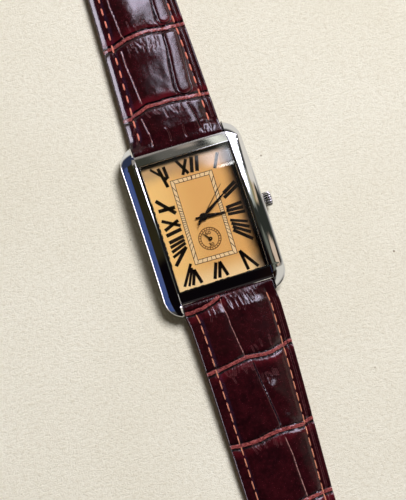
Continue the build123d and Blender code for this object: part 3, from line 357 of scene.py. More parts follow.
def dial_lacquer():
    """Satin peach lacquer with painted light, paler to the left and foot, and painted shade, brown towards
    the right and top edges.
    """
    f = Finish("dial_salmon", Metallic=0.1, Roughness=0.42)
    grain = f.noise(5.0, 5, 0.6)
    warm = f.blend(f.span(grain, 0.3, 0.7, 0.0, 1.0), shade(226, 164, 90), shade(233, 176, 106))
    x, y, _ = f.axes()
    wander = f.times(f.minus(f.noise(0.35, 3), 0.5), 1.6)
    # painted light: paler towards the left edge and towards the foot
    left = f.span(x, -9.8, 0.0, 1.0, 0.0, eased=True)
    painted_light_foot = f.span(y, -10.0, -14.6, 0.0, 1.0, eased=True)
    warm = f.blend(f.times(left, 0.85), warm, shade(255, 206, 128))
    warm = f.blend(f.times(painted_light_foot, 0.85), warm, shade(252, 216, 160))
    # painted shade: greyish brown towards the top
    painted_top_shade = f.span(f.plus(y, wander), 9.6, 13.0, 0.0, 0.75, eased=True)
    warm = f.blend(painted_top_shade, warm, shade(176, 140, 104))
    # painted shade: dark brown towards the right edge
    right = f.span(f.plus(x, wander), 6.6, 10.4, 0.0, 1.0, eased=True)
    warm = f.blend(right, warm, shade(40, 19, 8))
    # painted shade: darker still along the top edge
    painted_rim_shade = f.span(f.plus(y, f.times(wander, 0.3)), 13.6, 14.5, 0.0, 1.0, eased=True)
    warm = f.blend(painted_rim_shade, warm, shade(30, 21, 14))
    f.put("Base Color", warm)
    fine = f.noise(1.0, 2, vector=f.stretch(40, 2.5, 2.5))
    f.put("Roughness", f.span(fine, 0.3, 0.7, 0.36, 0.48))
    f.bump(fine, 0.12, 0.01)
    return f.material


def print_ink(name, low, high):
    """Printed ink, unevenly thick."""
    f = Finish(name, Roughness=0.35, Specular_IOR_Level=0.2)
    spread = f.noise(7.0, 4)
    f.put("Base Color", f.blend(f.span(spread, 0.35, 0.65, 0.0, 1.0), low, high))
    f.bump(spread, 0.25, 0.015)
    return f.material


def hand_lacquer():
    """Glossy black paint, not quite even."""
    f = Finish("hand_black", Roughness=0.22, Coat_Weight=0.6)
    spread = f.noise(4.0, 3)
    f.put("Base Color", f.blend(spread, shade(8, 5, 7), shade(20, 14, 17)))
    f.put("Roughness", f.span(spread, 0.3, 0.7, 0.16, 0.3))
    f.bump(f.noise(12.0, 2), 0.06, 0.01)
    return f.material


def embossed_leather():
    """Glazed burgundy leather. The mesh carries four distances in mm: groove_far to the middle of the nearest
    pressed strip, below 0 on the side towards the case, groove_near the same without its sign, and light_far
    and dark_far to the nearest light and dark crease. Strips get pale streaks of painted highlight and
    painted shadow lines along their sides, light creases a painted highlight and dark ones a painted shade
    line. The glaze fades out on what faces sideways."""
    f = Finish("strap_leather", Roughness=0.3, Specular_IOR_Level=0.04, Coat_Weight=1.0, Coat_Roughness=0.115)
    normal = node(f.tree, "ShaderNodeNewGeometry").outputs["Normal"]
    facing = node(f.tree, "ShaderNodeSeparateXYZ", {0: normal}).outputs["Z"]
    f.put("Coat Weight", f.span(facing, 0.15, 0.5, 0.0, 1.0))
    near, light, dark = f.layer("groove_near"), f.layer("light_far"), f.layer("dark_far")
    ragged = f.times(f.minus(f.noise(1.3, 4, 0.6), 0.5), 0.36)
    far = f.plus(f.layer("groove_far"), ragged)
    # far changes sign halfway between two strips; there the true distance keeps it away from nought
    halfway = f.span(near, 3.6, 3.9, 0.0, 9.0)
    away = f.maths("MAXIMUM", f.maths("ABSOLUTE", far), halfway)
    close = f.span(near, 3.6, 3.9, 1.0, 0.0)
    cloud = f.noise(0.22, 5, 0.6)
    deep = f.blend(f.span(cloud, 0.3, 0.7, 0.0, 1.0), shade(22, 5, 8), shade(46, 10, 15))
    deep = f.blend(f.span(f.noise(1.1, 4), 0.42, 0.75, 0.0, 0.5), deep, shade(62, 16, 23))
    # redder on the panel just beyond a strip
    glow = f.times(f.span(far, 0.5, 0.9, 0.0, 1.0, eased=True), f.span(far, 3.3, 1.0, 0.0, 0.85, eased=True))
    glow = f.times(f.times(glow, close), f.span(cloud, 0.4, 0.6, 0.3, 1.0))
    deep = f.blend(glow, deep, shade(88, 18, 28))
    # the strip itself, with pale streaks of painted highlight and a painted shadow line along each side
    highlight_streaks = f.noise(1.0, 5, 0.7, vector=f.stretch(2.0, 4.5, 2.0), distortion=0.6)
    strip = f.blend(f.span(highlight_streaks, 0.4, 0.66, 0.0, 1.0), shade(72, 17, 23), shade(196, 104, 100))
    deep = f.blend(f.span(away, 0.3, 0.48, 0.95, 0.0, eased=True), deep, strip)
    beyond = f.span(f.gap(far, 0.7), 0.15, 0.32, 0.97, 0.0, eased=True)
    before = f.span(f.gap(far, -0.62), 0.07, 0.22, 0.85, 0.0, eased=True)
    deep = f.blend(f.times(f.maths("MAXIMUM", beyond, before), close), deep, shade(8, 2, 4))
    # creases: a broken painted highlight beside each dark one, then the painted highlight of the light ones,
    # then the painted shade of the dark ones
    broken = f.span(f.noise(1.9, 3, 0.6), 0.4, 0.56, 0.25, 1.0)
    pale_highlight_line = f.span(f.gap(dark, 0.27), 0.02, 0.11, 0.22, 0.0)
    deep = f.blend(f.times(pale_highlight_line, broken), deep, shade(150, 92, 96))
    deep = f.blend(f.times(f.span(light, 0.03, 0.12, 0.9, 0.0), broken), deep, shade(214, 156, 150))
    deep = f.blend(f.span(dark, 0.07, 0.19, 0.92, 0.0, eased=True), deep, shade(9, 3, 5))
    f.put("Base Color", deep)
    f.put("Roughness", f.span(f.noise(2.2, 4), 0.3, 0.75, 0.2, 0.36))
    puckered = f.span(away, 3.4, 0.7, 0.0, 1.0, eased=True)
    wrinkle = f.noise(1.0, 4, 0.6, vector=f.stretch(2.2, 0.75, 1.4), distortion=0.9)
    f.bump(f.times(wrinkle, f.plus(f.times(puckered, 0.7), 0.3)), 0.32, 0.16)
    f.bump(f.noise(3.4, 4, 0.6), 0.3, 0.035)
    f.bump(f.span(light, 0.0, 0.14, 0.0, 1.0, eased=True), 0.3, 0.05)
    f.bump(f.span(dark, 0.0, 0.22, 0.0, 1.0, eased=True), 0.4, 0.08)
    return f.material


def suede_lining():
    """Light brown napped leather."""
    f = Finish("strap_lining", Roughness=0.8, Sheen_Weight=0.25, Sheen_Roughness=0.5)
    nap = f.noise(2.6, 5, 0.65)
    f.put("Base Color", f.blend(f.span(nap, 0.3, 0.7, 0.0, 1.0), shade(104, 54, 34), shade(146, 84, 54)))
    f.bump(nap, 0.3, 0.06)
    f.bump(f.cells(5.0), 0.15, 0.03)
    return f.material


def thread(name, low, high):
    """Twisted thread, mottled along its length."""
    f = Finish(name, Roughness=0.6, Sheen_Weight=0.2)
    twist = f.noise(1.0, 2, vector=f.stretch(9, 9, 4))
    f.put("Base Color", f.blend(f.span(twist, 0.3, 0.7, 0.0, 1.0), low, high))
    f.bump(twist, 0.4, 0.04)
    return f.material


def metal(name, low, high, rough):
    """Plain metal with faint clouds."""
    f = Finish(name, Metallic=1.0, Roughness=rough)
    scale = 1.6
    f.put("Base Color", f.blend(f.noise(scale, 4), low, high))
    f.put("Roughness", f.span(f.noise(scale * 3, 3), 0.3, 0.7, rough - 0.06, rough + 0.08))
    f.bump(f.noise(scale * 8, 2), 0.15, 0.01)
    return f.material


def plain(name, low, high, rough):
    """Plastic, board or foam with faint clouds."""
    f = Finish(name, Roughness=rough)
    scale = 2.0
    f.put("Base Color", f.blend(f.noise(scale, 4), low, high))
    f.put("Roughness", f.span(f.noise(scale * 3, 3), 0.3, 0.7, rough - 0.06, rough + 0.1))
    f.bump(f.noise(scale * 6, 3), 0.2, 0.02)
    return f.material


def winding():
    """Lacquered copper wire: waves along x stand for its turns."""
    f = Finish("coil_copper", Metallic=0.7, Roughness=0.3)
    inputs = {"Vector": f.place, "Scale": 3.2, "Distortion": 0.2, "Detail": 1.0}
    turns = node(f.tree, "ShaderNodeTexWave", inputs, bands_direction="X").outputs["Fac"]
    f.put("Base Color", f.blend(turns, shade(120, 58, 30), shade(212, 124, 76)))
    f.bump(turns, 0.6, 0.05)
    return f.material


def paper():
    """Warm white paper: broad clouds, fibres, grain, small pits and darker specks."""
    f = Finish("paper_floor", Roughness=0.85, Specular_IOR_Level=0.15)
    fibre = f.noise(1.0, 6, 0.68, vector=f.stretch(1.0, 1.5, 1.0), distortion=0.4)
    broad = f.noise(0.02, 3)
    grain = f.noise(3.0, 3, 0.7)
    base = f.blend(f.span(broad, 0.35, 0.65, 0.0, 1.0), shade(242, 236, 221), shade(236, 229, 212))
    base = f.blend(f.span(fibre, 0.45, 0.75, 0.0, 0.5), base, shade(204, 191, 166))
    base = f.blend(f.span(grain, 0.5, 0.75, 0.0, 0.4), base, shade(190, 176, 150))
    base = f.blend(f.span(f.cells(0.3), 0.0, 0.035, 0.55, 0.0), base, shade(164, 146, 120))
    base = f.blend(f.span(f.cells(0.105), 0.016, 0.034, 0.85, 0.0), base, shade(122, 100, 78))
    f.put("Base Color", base)
    f.bump(fibre, 0.8, 0.3)
    f.bump(grain, 1.0, 0.2)
    return f.material


steel = polished_steel()
leather = embossed_leather()
lining_hide = suede_lining()
finishes = {
    "polished_steel": steel,
    "brushed_back": brushed_steel("brushed_back", shade(176, 177, 180), shade(206, 206, 208), (0.4, 9, 9)),
    "crystal_glass": sapphire(),
    "black_rubber": rubber(),
    "dial_salmon": dial_lacquer(),
    "hand_black": hand_lacquer(),
    "spacer_plastic": plain("spacer_plastic", shade(204, 201, 188), shade(218, 214, 202), 0.5),
    "movement_brass": brushed_steel(
        "movement_brass", shade(196, 164, 92), shade(224, 194, 122), (6, 0.5, 6), 0.25),
    "movement_steel": metal("movement_steel", shade(150, 151, 156), shade(186, 187, 190), 0.28),
    "coil_copper": winding(),
    "board_green": plain("board_green", shade(24, 88, 52), shade(34, 112, 66), 0.3),
    "chip_black": plain("chip_black", shade(22, 22, 24), shade(38, 38, 40), 0.45),
    "strap_leather": leather,
    "strap_lining": lining_hide,
    "strap_padding": plain("strap_padding", shade(120, 106, 96), shade(150, 136, 122), 0.85),
}
for name, solid in nodes.items():
    solid.data.materials.clear()
    solid.data.materials.append(finishes[slot_of[name]])
    if slot_of[name] != "crystal_glass":
        solid.data.polygons.foreach_set("use_smooth", np.ones(len(solid.data.polygons), dtype=bool))


# Case
# The long sides bow about a centre far below the dial. Each _mid is the height of a face at the case's
# middle.

curve_radius = 104.0
crest_mid, glass_mid = 6.9, 7.5
band_mid, seat_mid = 6.6, 6.1
curve_centre = crest_mid - curve_radius
outline_half = 14.5
corner_radius = 4.6
corner_x, corner_y = 9.9, 15.9
lug_inner_x = 11.0
opening_y = 15.15
foot_z, recess_z = 0.35, 0.8
bar_y, bar_z = 18.85, 2.65


def curve_z(mid, y):
    """Height at y of a face whose height at the middle of the case is mid."""
    return curve_centre + np.sqrt((curve_radius + mid - crest_mid) ** 2 - np.asarray(y, dtype=float) ** 2)


def case_rail(name, side, crest_x, lip_x, lip_drop):
    """One long side with its two lugs. Rows follow the plan outline from lug tip to lug tip. In each row the
    top falls as 1.15 ((x - 11.2) / 3.3) to the power 1.7 and then as a quarter ellipse near the outline; then
    come the wall, the foot, the inner faces and a lip that slopes from the crest to the opening."""
    turn = np.radians(np.linspace(0, 75.5, 56))
    straight = np.concatenate([np.linspace(0, opening_y, 44), np.linspace(opening_y, corner_y, 5)[:-1]])
    y_half = np.concatenate([straight, corner_y + corner_radius * np.sin(turn)])
    x_half = np.concatenate([np.full(48, outline_half), corner_x + corner_radius * np.cos(turn)])
    nx_half = np.concatenate([np.ones(48), np.cos(turn)])
    open_half = np.concatenate([np.ones(44), np.zeros(4), np.zeros(56)])
    y = np.concatenate([-y_half[:0:-1], y_half])
    out_x = np.concatenate([x_half[:0:-1], x_half])
    normal_x = np.concatenate([nx_half[:0:-1], nx_half])
    normal_y = np.sign(y) * np.sqrt(1 - normal_x ** 2)
    is_open = np.concatenate([open_half[:0:-1], open_half])

    inner_top = lug_inner_x + np.minimum(crest_x - lug_inner_x, 0.5 * (out_x - lug_inner_x))
    t = (np.linspace(0, 1, 30) ** 2)[None, :]
    x_top = out_x[:, None] + (inner_top - out_x)[:, None] * t
    y_top = np.broadcast_to(y[:, None], x_top.shape)
    ay = np.abs(y_top)
    in_corner = (ay > corner_y) & (x_top > corner_x)
    round_inside = corner_radius - np.hypot(x_top - corner_x, ay - corner_y)
    inside = np.clip(np.where(in_corner, round_inside, outline_half - x_top), 0, None)
    drop = 0.55 - 0.1 * smooth(np.abs(y), 13, 20)
    width = 0.2 if side > 0 else 0.12
    share = np.clip(1 - inside / width, 0, 1)
    fall = drop[:, None] * (1 - np.sqrt(1 - share ** 2))
    outwards = np.where(in_corner, outline_half - inside, x_top)
    z_top = curve_z(crest_mid, y_top) - 1.15 * (np.clip(outwards - 11.2, 0, None) / 3.3) ** 1.7 - fall

    rise = 0.9 * np.clip((np.abs(y) - 13.5) / 7, 0, 1)
    edge_z = z_top[:, 0]
    bulge_z = 2.0 + 0.5 * rise
    low_z = foot_z + rise
    room = np.clip((out_x - lug_inner_x) / 0.8, 0, 1)
    a = np.linspace(0, np.pi / 2, 7)[None, :]
    foot_inset = 0.5 * (1 - np.cos(a)) * room[:, None]
    foot_x = out_x[:, None] - foot_inset * normal_x[:, None]
    foot_y = y[:, None] - foot_inset * normal_y[:, None]
    foot_height = bulge_z[:, None] - (bulge_z - low_z)[:, None] * np.sin(a)
    wall_t = np.linspace(0, 1, 5)[None, 1:-1]
    wall_z = edge_z[:, None] + (bulge_z - edge_z)[:, None] * wall_t
    wall_x = np.broadcast_to(out_x[:, None], wall_z.shape)
    wall_y = np.broadcast_to(y[:, None], wall_z.shape)

    # inner faces: lip, opening and recess beside the dial, and a plain wall on the lugs
    crest_z = curve_z(crest_mid, y)
    seat_z = curve_z(seat_mid, y)
    zero = np.zeros_like(y)
    opening_x, recess_x = 10.35, 12.35
    steps_x = [lip_x, lip_x - 0.02, lip_x - 0.02, opening_x, opening_x, recess_x, recess_x]
    open_x = np.stack([zero + step for step in steps_x], axis=1)
    lip_z = crest_z - lip_drop
    open_z = np.stack([
        lip_z, lip_z - 0.05, seat_z, seat_z, zero + recess_z, zero + recess_z, zero + foot_z,
    ], axis=1)
    near = inner_top - lug_inner_x
    lug_x = lug_inner_x + np.stack([0.3 * near, zero, zero, zero, zero, zero, zero], axis=1)
    lug_z = np.stack([
        crest_z - 0.03, crest_z - 0.14, crest_z - 1.0, crest_z * 0.6 + low_z * 0.4,
        crest_z * 0.4 + low_z * 0.6, low_z + 0.3, low_z,
    ], axis=1)
    flag = is_open[:, None] > 0.5
    in_x = np.where(flag, open_x, lug_x)
    in_z = np.where(flag, open_z, lug_z)
    in_y = np.broadcast_to(y[:, None], in_x.shape)

    # the ring runs from the foot up the wall, over the top and down the inner faces
    xs = np.concatenate([foot_x[:, ::-1], wall_x[:, ::-1], x_top, in_x], axis=1)
    ys = np.concatenate([foot_y[:, ::-1], wall_y[:, ::-1], y_top, in_y], axis=1)
    zs = np.concatenate([foot_height[:, ::-1], wall_z[:, ::-1], z_top, in_z], axis=1)
    points = np.stack([side * xs, ys, zs], axis=-1)
    rows, columns = xs.shape
    faces = [grid_quads(rows, columns)] + end_caps(rows, columns)
    return mesh_from(name, points, faces, sharp=24)


def round_corners(path, radii, steps=6):
    """Closed path with each corner swapped for a short curve that starts and ends its radius away from it."""
    path = np.asarray(path, dtype=float)
    before, after = np.roll(path, 1, axis=0) - path, np.roll(path, -1, axis=0) - path
    before /= np.linalg.norm(before, axis=1)[:, None]
    after /= np.linalg.norm(after, axis=1)[:, None]
    r = np.asarray(radii, dtype=float)[:, None]
    t = np.linspace(0, 1, steps)[None, :, None]
    a, b = (path + before * r)[:, None], (path + after * r)[:, None]
    c = path[:, None]
    curve = a * (1 - t) ** 2 + 2 * c * t * (1 - t) + b * t ** 2
    return curve.reshape(-1, 2)


def end_band(name, sign, reach):
    """One short side between the lugs: its section in y and z, carried along x. The strap side is a hollow
    arc about the bar, and the top, out to reach, follows the case's curve."""
    arc = np.radians(np.linspace(64, -24.9, 22))
    hollow = np.stack([bar_y - 2.04 * np.cos(arc), bar_z + 2.04 * np.sin(arc)], axis=1)
    top = [(opening_y, float(curve_z(band_mid, opening_y))), (reach, float(curve_z(band_mid, reach)))]
    seat = float(curve_z(seat_mid, opening_y))
    upper = np.array(top)
    lower = np.array([
        (17.0, foot_z), (16.8, foot_z), (16.8, recess_z), (14.8, recess_z), (14.8, seat), (opening_y, seat),
    ])
    ring = np.concatenate([upper, hollow, lower])
    radii = np.full(len(ring), 1e-4)
    radii[:3] = 0.14, 0.12, 0.06
    plump = round_corners(ring, radii, 5)
    ahead, behind = plump[4], plump[5]
    level = ahead[0] + (behind[0] - ahead[0]) * np.array([0.04, 0.3, 0.7, 0.96])
    plump = np.insert(plump, 5, np.stack([level, curve_z(band_mid, level)], axis=1), axis=0)
    x = np.linspace(-10.97, 10.97, 45)
    ys = np.broadcast_to(sign * plump[:, 0], (len(x), len(plump)))
    zs = np.broadcast_to(plump[:, 1], (len(x), len(plump)))
    xs = np.broadcast_to(x[:, None], (len(x), len(plump)))
    points = np.stack([xs, ys, zs], axis=-1)
    faces = [grid_quads(len(x), len(plump))] + end_caps(len(x), len(plump))
    return mesh_from(name, points, faces, sharp=24)


case_pieces = [
    case_rail("case_rail_left", -1, 11.37, 11.12, 0.06),
    case_rail("case_rail_right", 1, 11.06, 10.96, 0.02),
    end_band("case_band_12", 1, 17.72),
    end_band("case_band_6", -1, 17.3),
]
for thing in case_pieces:
    dress(thing, steel, "case", "polished_steel", "case_middle")


def curved_crystal():
    """Both faces follow the case's curve; a narrow bevel runs round the upper edge."""
    bevel = 0.12
    y = np.concatenate([[-15.02, -14.94], np.linspace(-14.85, 14.85, 91), [14.94, 15.02]])
    fall = np.where(np.abs(y) > 15.0, bevel, 0.0)
    top, low = curve_z(glass_mid, y), curve_z(seat_mid, y)
    across = np.linspace(-10.48, 10.48, 25)
    x = np.concatenate([[-10.58, -10.58], across, [10.58, 10.58]])
    upper = np.concatenate([[0.0, bevel], np.zeros(25), [bevel, 0.0]])
    xs = np.broadcast_to(x, (len(y), len(x)))
    zs = top[:, None] - np.maximum(upper[None, :], fall[:, None])
    zs[:, 0], zs[:, -1] = low, low
    under = np.broadcast_to(across[::-1], (len(y), 25))
    xs = np.concatenate([xs, under], axis=1)
    zs = np.concatenate([zs, np.broadcast_to(low[:, None], under.shape)], axis=1)
    ys = np.broadcast_to(y[:, None], xs.shape)
    points = np.stack([xs, ys, zs], axis=-1)
    rows, columns = xs.shape
    faces = [grid_quads(rows, columns)] + end_caps(rows, columns)
    return mesh_from("crystal_curved", points, faces, sharp=24)


dress(curved_crystal(), finishes["crystal_glass"], "case", "crystal_glass", "crystal")


def seal_ring():
    """Black seal: a small section carried round the rectangle between crystal and case, on the case's curve.
    Each point of the section is (x, y, rise); an x of 0 or less counts from the case's wall."""
    corners = np.array([(-1, -1), (1, -1), (1, 1), (-1, 1)], dtype=float)
    share = np.linspace(0, 1, 40, endpoint=False)[None, :, None]
    way = (corners[:, None] + (np.roll(corners, -1, axis=0) - corners)[:, None] * share).reshape(-1, 2)
    wall_x = np.where(way[:, 0] < 0, 11.09, 10.92)
    section = [
        (10.6, 15.03, 0.02), (10.6, 15.03, 0.62), (10.68, 15.05, 0.68),
        (-0.06, 15.13, 0.68), (0.0, 15.15, 0.62), (0.0, 15.15, 0.02),
    ]
    xs, ys, zs = [], [], []
    for half_x, half_y, rise in section:
        wide = half_x if half_x > 0 else wall_x + half_x
        xs.append(way[:, 0] * wide)
        ys.append(way[:, 1] * half_y)
        zs.append(curve_z(seat_mid, ys[-1]) + rise)
    points = np.stack([np.stack(xs, axis=1), np.stack(ys, axis=1), np.stack(zs, axis=1)], axis=-1)
    faces = [grid_quads(len(way), len(section), loop=True)]
    return mesh_from("crystal_seal_ring", points, faces, sharp=30)


dress(seal_ring(), finishes["black_rubber"], "case", "black_rubber", "crystal_gasket")


crown_z = 2.95


def fluted_crown():
    """Profile turned about the crown's axis; each point of it is (x, radius, share of the flutes' depth). The
    radius dips by 0.2 (0.5 - 0.5 cos of 18 turns) to the power 1.6."""
    flutes = 18
    profile = np.array([
        (15.75, 0.04, 0), (15.75, 1.08, 0), (14.84, 1.08, 0), (14.8, 1.12, 0), (14.8, 1.42, 0),
        (14.86, 1.52, 0.2), (14.98, 1.62, 0.7), (15.12, 1.70, 1), (15.3, 1.745, 1), (15.6, 1.75, 1),
        (16.0, 1.75, 1), (16.3, 1.745, 1), (16.46, 1.71, 1), (16.58, 1.63, 0.75), (16.66, 1.52, 0.3),
        (16.7, 1.4, 0), (16.72, 1.32, 0), (16.7, 1.26, 0), (16.73, 1.18, 0), (16.76, 0.9, 0),
        (16.79, 0.5, 0), (16.8, 0.04, 0),
    ])
    turn = np.linspace(0, 2 * np.pi, flutes * 14, endpoint=False)
    dip = 0.2 * (0.5 - 0.5 * np.cos(flutes * turn)) ** 1.6
    radius = profile[:, 1][:, None] - profile[:, 2][:, None] * dip[None, :]
    xs = np.broadcast_to(profile[:, 0][:, None], radius.shape)
    points = np.stack([xs, radius * np.cos(turn), crown_z + radius * np.sin(turn)], axis=-1)
    rows, columns = radius.shape
    faces = [grid_quads(rows, columns)] + end_caps(rows, columns)
    return mesh_from("crown_fluted", points, faces, sharp=30)


dress(fluted_crown(), crown_steel(), "crown_and_stem", "polished_steel", "crown")


# Dial print
# Each stroke of a numeral is one flat bar (x0, y0, x1, y1, width), raised 0.02 above the dial.

numeral_strokes = [
    (-0.10, 10.77, -1.95, 14.21, .58), (-1.34, 10.77, 0.24, 13.92, .58), (0.81, 10.74, 1.63, 14.00, .68),
    (2.05, 10.74, 2.93, 13.99, .68), (-5.58, 9.07, -6.46, 13.58, .62), (-5.22, 10.76, -8.21, 13.86, .46),
    (-4.98, 10.94, -5.16, 13.62, .62), (-5.77, 2.78, -9.20, 6.57, .68), (-5.59, 4.09, -9.24, 4.16, .68),
    (-5.67, -0.26, -9.29, 1.79, .58), (-5.82, 0.97, -9.20, -0.40, .62), (-5.77, -1.15, -9.25, -1.68, .68),
    (-5.77, -2.82, -9.12, -3.38, .66), (-5.80, -3.67, -9.17, -4.47, .58), (-5.81, -4.47, -9.16, -5.58, .58),
    (-5.94, -5.42, -9.25, -6.78, .52), (-5.94, -5.42, -9.29, -8.79, .66),
    (-6.14, -9.41, -8.91, -13.80, .52), (-6.15, -10.38, -7.88, -14.00, .46),
    (-5.75, -10.93, -6.92, -14.06, .58), (-5.75, -10.93, -4.97, -14.06, .62),
    (-0.55, -10.84, -1.81, -14.13, .62), (0.38, -10.9, -0.67, -14.18, .62),
    (0.38, -10.9, 1.24, -14.16, .62), (5.57, -9.9, 6.11, -14.32, .58), (5.57, -9.9, 8.48, -14.26, .58),
    (5.79, -2.48, 9.37, -3.83, .52), (5.83, -3.27, 9.38, -5.07, .58), (5.86, -4.11, 9.32, -6.36, .58),
    (5.73, -4.88, 9.29, -7.96, .62), (5.84, 0.58, 9.38, 0.80, .62), (5.71, -0.19, 9.36, -0.37, .62),
    (5.74, -1.01, 9.51, -1.42, .58), (6.29, 4.00, 9.41, 5.74, .68), (6.12, 2.93, 9.71, 4.77, .64),
    (6.15, 10.18, 7.74, 13.29, .58),
]
dial_z = 4.4


def bars(name, strokes, low, high, wider=1.0, longer=0.0):
    """Flat bars from (x0, y0) to (x1, y1) with a width each, as one mesh of thin slabs between two heights.
    Wider scales every width, and longer is added at both ends."""
    s = np.asarray(strokes, dtype=float)
    a, b, width = s[:, 0:2], s[:, 2:4], s[:, 4:5] * wider
    along = (b - a) / np.linalg.norm(b - a, axis=1)[:, None]
    a, b = a - along * longer, b + along * longer
    across = np.stack([-along[:, 1], along[:, 0]], axis=1) * width / 2
    plan = np.stack([a - across, a + across, b + across, b - across], axis=1)
    points = np.zeros((len(s), 2, 4, 3))
    points[:, :, :, 0:2] = plan[:, None]
    points[:, :, :, 2] = np.array([low, high])[None, :, None]
    caps = np.concatenate(end_caps(2, 4))
    faces = [repeated(grid_quads(2, 4), len(s), 8), repeated(caps, len(s), 8)]
    return mesh_from(name, points, faces)


def turned(strokes, degrees, dx):
    """The same strokes, turned about the dial's middle and shifted along x."""
    s = np.array(strokes, dtype=float)
    c, k = math.cos(math.radians(degrees)), math.sin(math.radians(degrees))
    for i in (0, 2):
        x, y = s[:, i].copy(), s[:, i + 1].copy()
        s[:, i], s[:, i + 1] = c * x - k * y + dx, k * x + c * y
    return s


def frame_strokes(half_x, half_y, width):
    """Four bars round a rectangle."""
    h = width / 2
    return [
        (-half_x - h, half_y, half_x + h, half_y, width),
        (-half_x - h, -half_y, half_x + h, -half_y, width),
        (-half_x, -half_y + h, -half_x, half_y - h, width),
        (half_x, -half_y + h, half_x, half_y - h, width),
    ]


def rim_point(angle, half_x, half_y):
    """Where a ray at that angle from 12 o'clock meets a rectangle."""
    dx, dy = math.sin(angle), math.cos(angle)
    reach = min(half_x / max(abs(dx), 1e-9), half_y / max(abs(dy), 1e-9))
    return dx * reach, dy * reach


track_inner, track_outer = (4.15, 9.1), (5.0, 9.98)


def track_ticks():
    """Sixty marks across the minute track, each along the ray to its minute, wider every five and widest at
    12."""
    ticks = []
    for minute in range(60):
        angle = math.radians(6 * minute)
        x0, y0 = rim_point(angle, *track_inner)
        x1, y1 = rim_point(angle, *track_outer)
        width = 0.3 if minute == 0 else 0.17 if minute % 5 == 0 else 0.13
        ticks.append((x0, y0, x1, y1, width))
    return ticks


def ring_strokes(cx, cy, radius, width, count):
    """A circle as short bars."""
    a = np.linspace(0, 2 * np.pi, count + 1)
    x, y = cx + radius * np.cos(a), cy + radius * np.sin(a)
    return [(x[i], y[i], x[i + 1], y[i + 1], width) for i in range(count)]


small_x, small_y = -0.1, -5.1
tilt, track_x = -1.2, 0.08
numerals = bars("dial_numerals", numeral_strokes, dial_z, dial_z + 0.02, 1.27, 0.14)
dress(numerals, print_ink("numeral_ink", shade(8, 5, 5), shade(20, 12, 10)), "case", "dial_salmon")
band = [
    (-4.575, -9.98, -4.575, 9.98, 0.85), (4.575, -9.98, 4.575, 9.98, 0.85),
    (-4.15, 9.54, 4.15, 9.54, 0.88), (-4.15, -9.54, 4.15, -9.54, 0.88),
]
track_field = bars("dial_track_field", turned(band, tilt, track_x), dial_z, dial_z + 0.006)
cream = print_ink("track_cream", shade(240, 208, 162), shade(232, 194, 142))
dress(track_field, cream, "case", "dial_salmon")
lines = frame_strokes(*track_outer, 0.15) + frame_strokes(*track_inner, 0.14)
track_lines = bars("dial_track_lines", turned(lines, tilt, track_x), dial_z, dial_z + 0.014)
track_marks = bars("dial_track_marks", turned(track_ticks(), tilt, track_x), dial_z, dial_z + 0.012)
brown_ink = print_ink("track_ink", shade(58, 30, 18), shade(84, 46, 28))
dress(track_lines, brown_ink, "case", "dial_salmon")
dress(track_marks, brown_ink, "case", "dial_salmon")


def small_scale():
    """Seconds scale: two rings, 24 lines between them and the figures 60 and 30 in short bars. A figure's
    bars are (x0, y0, x1, y1) in a box one unit high, and 0.72 makes them their real height."""
    outer, inner, width = 2.57, 2.03, 0.15
    marks = ring_strokes(small_x, small_y, outer, width, 64)
    marks += ring_strokes(small_x, small_y, inner, 0.13, 56)
    for k in range(24):
        a = math.radians(15 * k)
        dx, dy = math.sin(a), math.cos(a)
        start = (small_x + inner * dx, small_y + inner * dy)
        marks.append((*start, small_x + outer * dx, small_y + outer * dy, width))
    six = [
        (0.42, 1.0, 0.1, 0.95), (0.1, 0.95, 0.0, 0.5), (0.0, 0.5, 0.05, 0.05),
        (0.05, 0.05, 0.4, 0.0), (0.4, 0.0, 0.45, 0.45), (0.45, 0.45, 0.05, 0.5),
    ]
    three = [
        (0.02, 0.95, 0.4, 1.0), (0.4, 1.0, 0.45, 0.6), (0.45, 0.6, 0.15, 0.5),
        (0.15, 0.5, 0.47, 0.4), (0.47, 0.4, 0.4, 0.0), (0.4, 0.0, 0.0, 0.05),
    ]
    nought = [
        (0.1, 0.05, 0.0, 0.5), (0.0, 0.5, 0.1, 0.95), (0.1, 0.95, 0.38, 0.95),
        (0.38, 0.95, 0.48, 0.5), (0.48, 0.5, 0.38, 0.05), (0.38, 0.05, 0.1, 0.05),
    ]
    for figures, base_y in (((six, nought), small_y + 1.0), ((three, nought), small_y - 1.75)):
        for place, figure in enumerate(figures):
            shift = small_x - 0.6 + 0.66 * place
            for x0, y0, x1, y1 in figure:
                marks.append((shift + x0, base_y + 0.72 * y0, shift + x1, base_y + 0.72 * y1, width))
    return marks


small_print = bars("dial_seconds_scale", small_scale(), dial_z - 0.05, dial_z + 0.012)
dress(small_print, brown_ink, "case", "dial_salmon")


# Leather strap
# u runs across, s along from the bar, and e is how far inside the plan outline a point lies. A side is +1 for
# the 12 o'clock half and -1 for the 6 o'clock half, which is the long one.

short_length, long_length = 75.0, 115.0
loop_radius = 1.82
lining_thick = 1.0
stitch_inset = 2.25
# stands for any distance too long to matter
far_off = 9.0


def half_of(side):
    """Whether a half is the long one, how long it is from its bar, and how far its end drops."""
    return (True, long_length, 1.4) if side < 0 else (False, short_length, 0.0)


def side_bend(s):
    """How far the long half leans to the left, by the photograph: 1.45 (1 - exp(-(s / 44) squared)), less a
    step of 0.38 close to the bar."""
    return 1.45 * (1 - np.exp(-(np.clip(s, 0, None) / 44.0) ** 2)) - 0.38 * smooth(s, 0.5, 5.0)


def short_bend(s):
    """How far the short half leans to the right, by the photograph: half a sine wave from its bar to the
    buckle."""
    return 0.34 * np.sin(np.pi * np.clip(s / 76.0, 0, 1))


def place_half(side, u, s, z):
    """Points of a half in the case's frame: the 6 o'clock half is turned round."""
    if side > 0:
        return np.stack([u + short_bend(s), bar_y + s, z], axis=-1)
    return np.stack([-u - side_bend(s), -bar_y - s, z], axis=-1)


tip_s, tip_radius = 110.625, 4.375


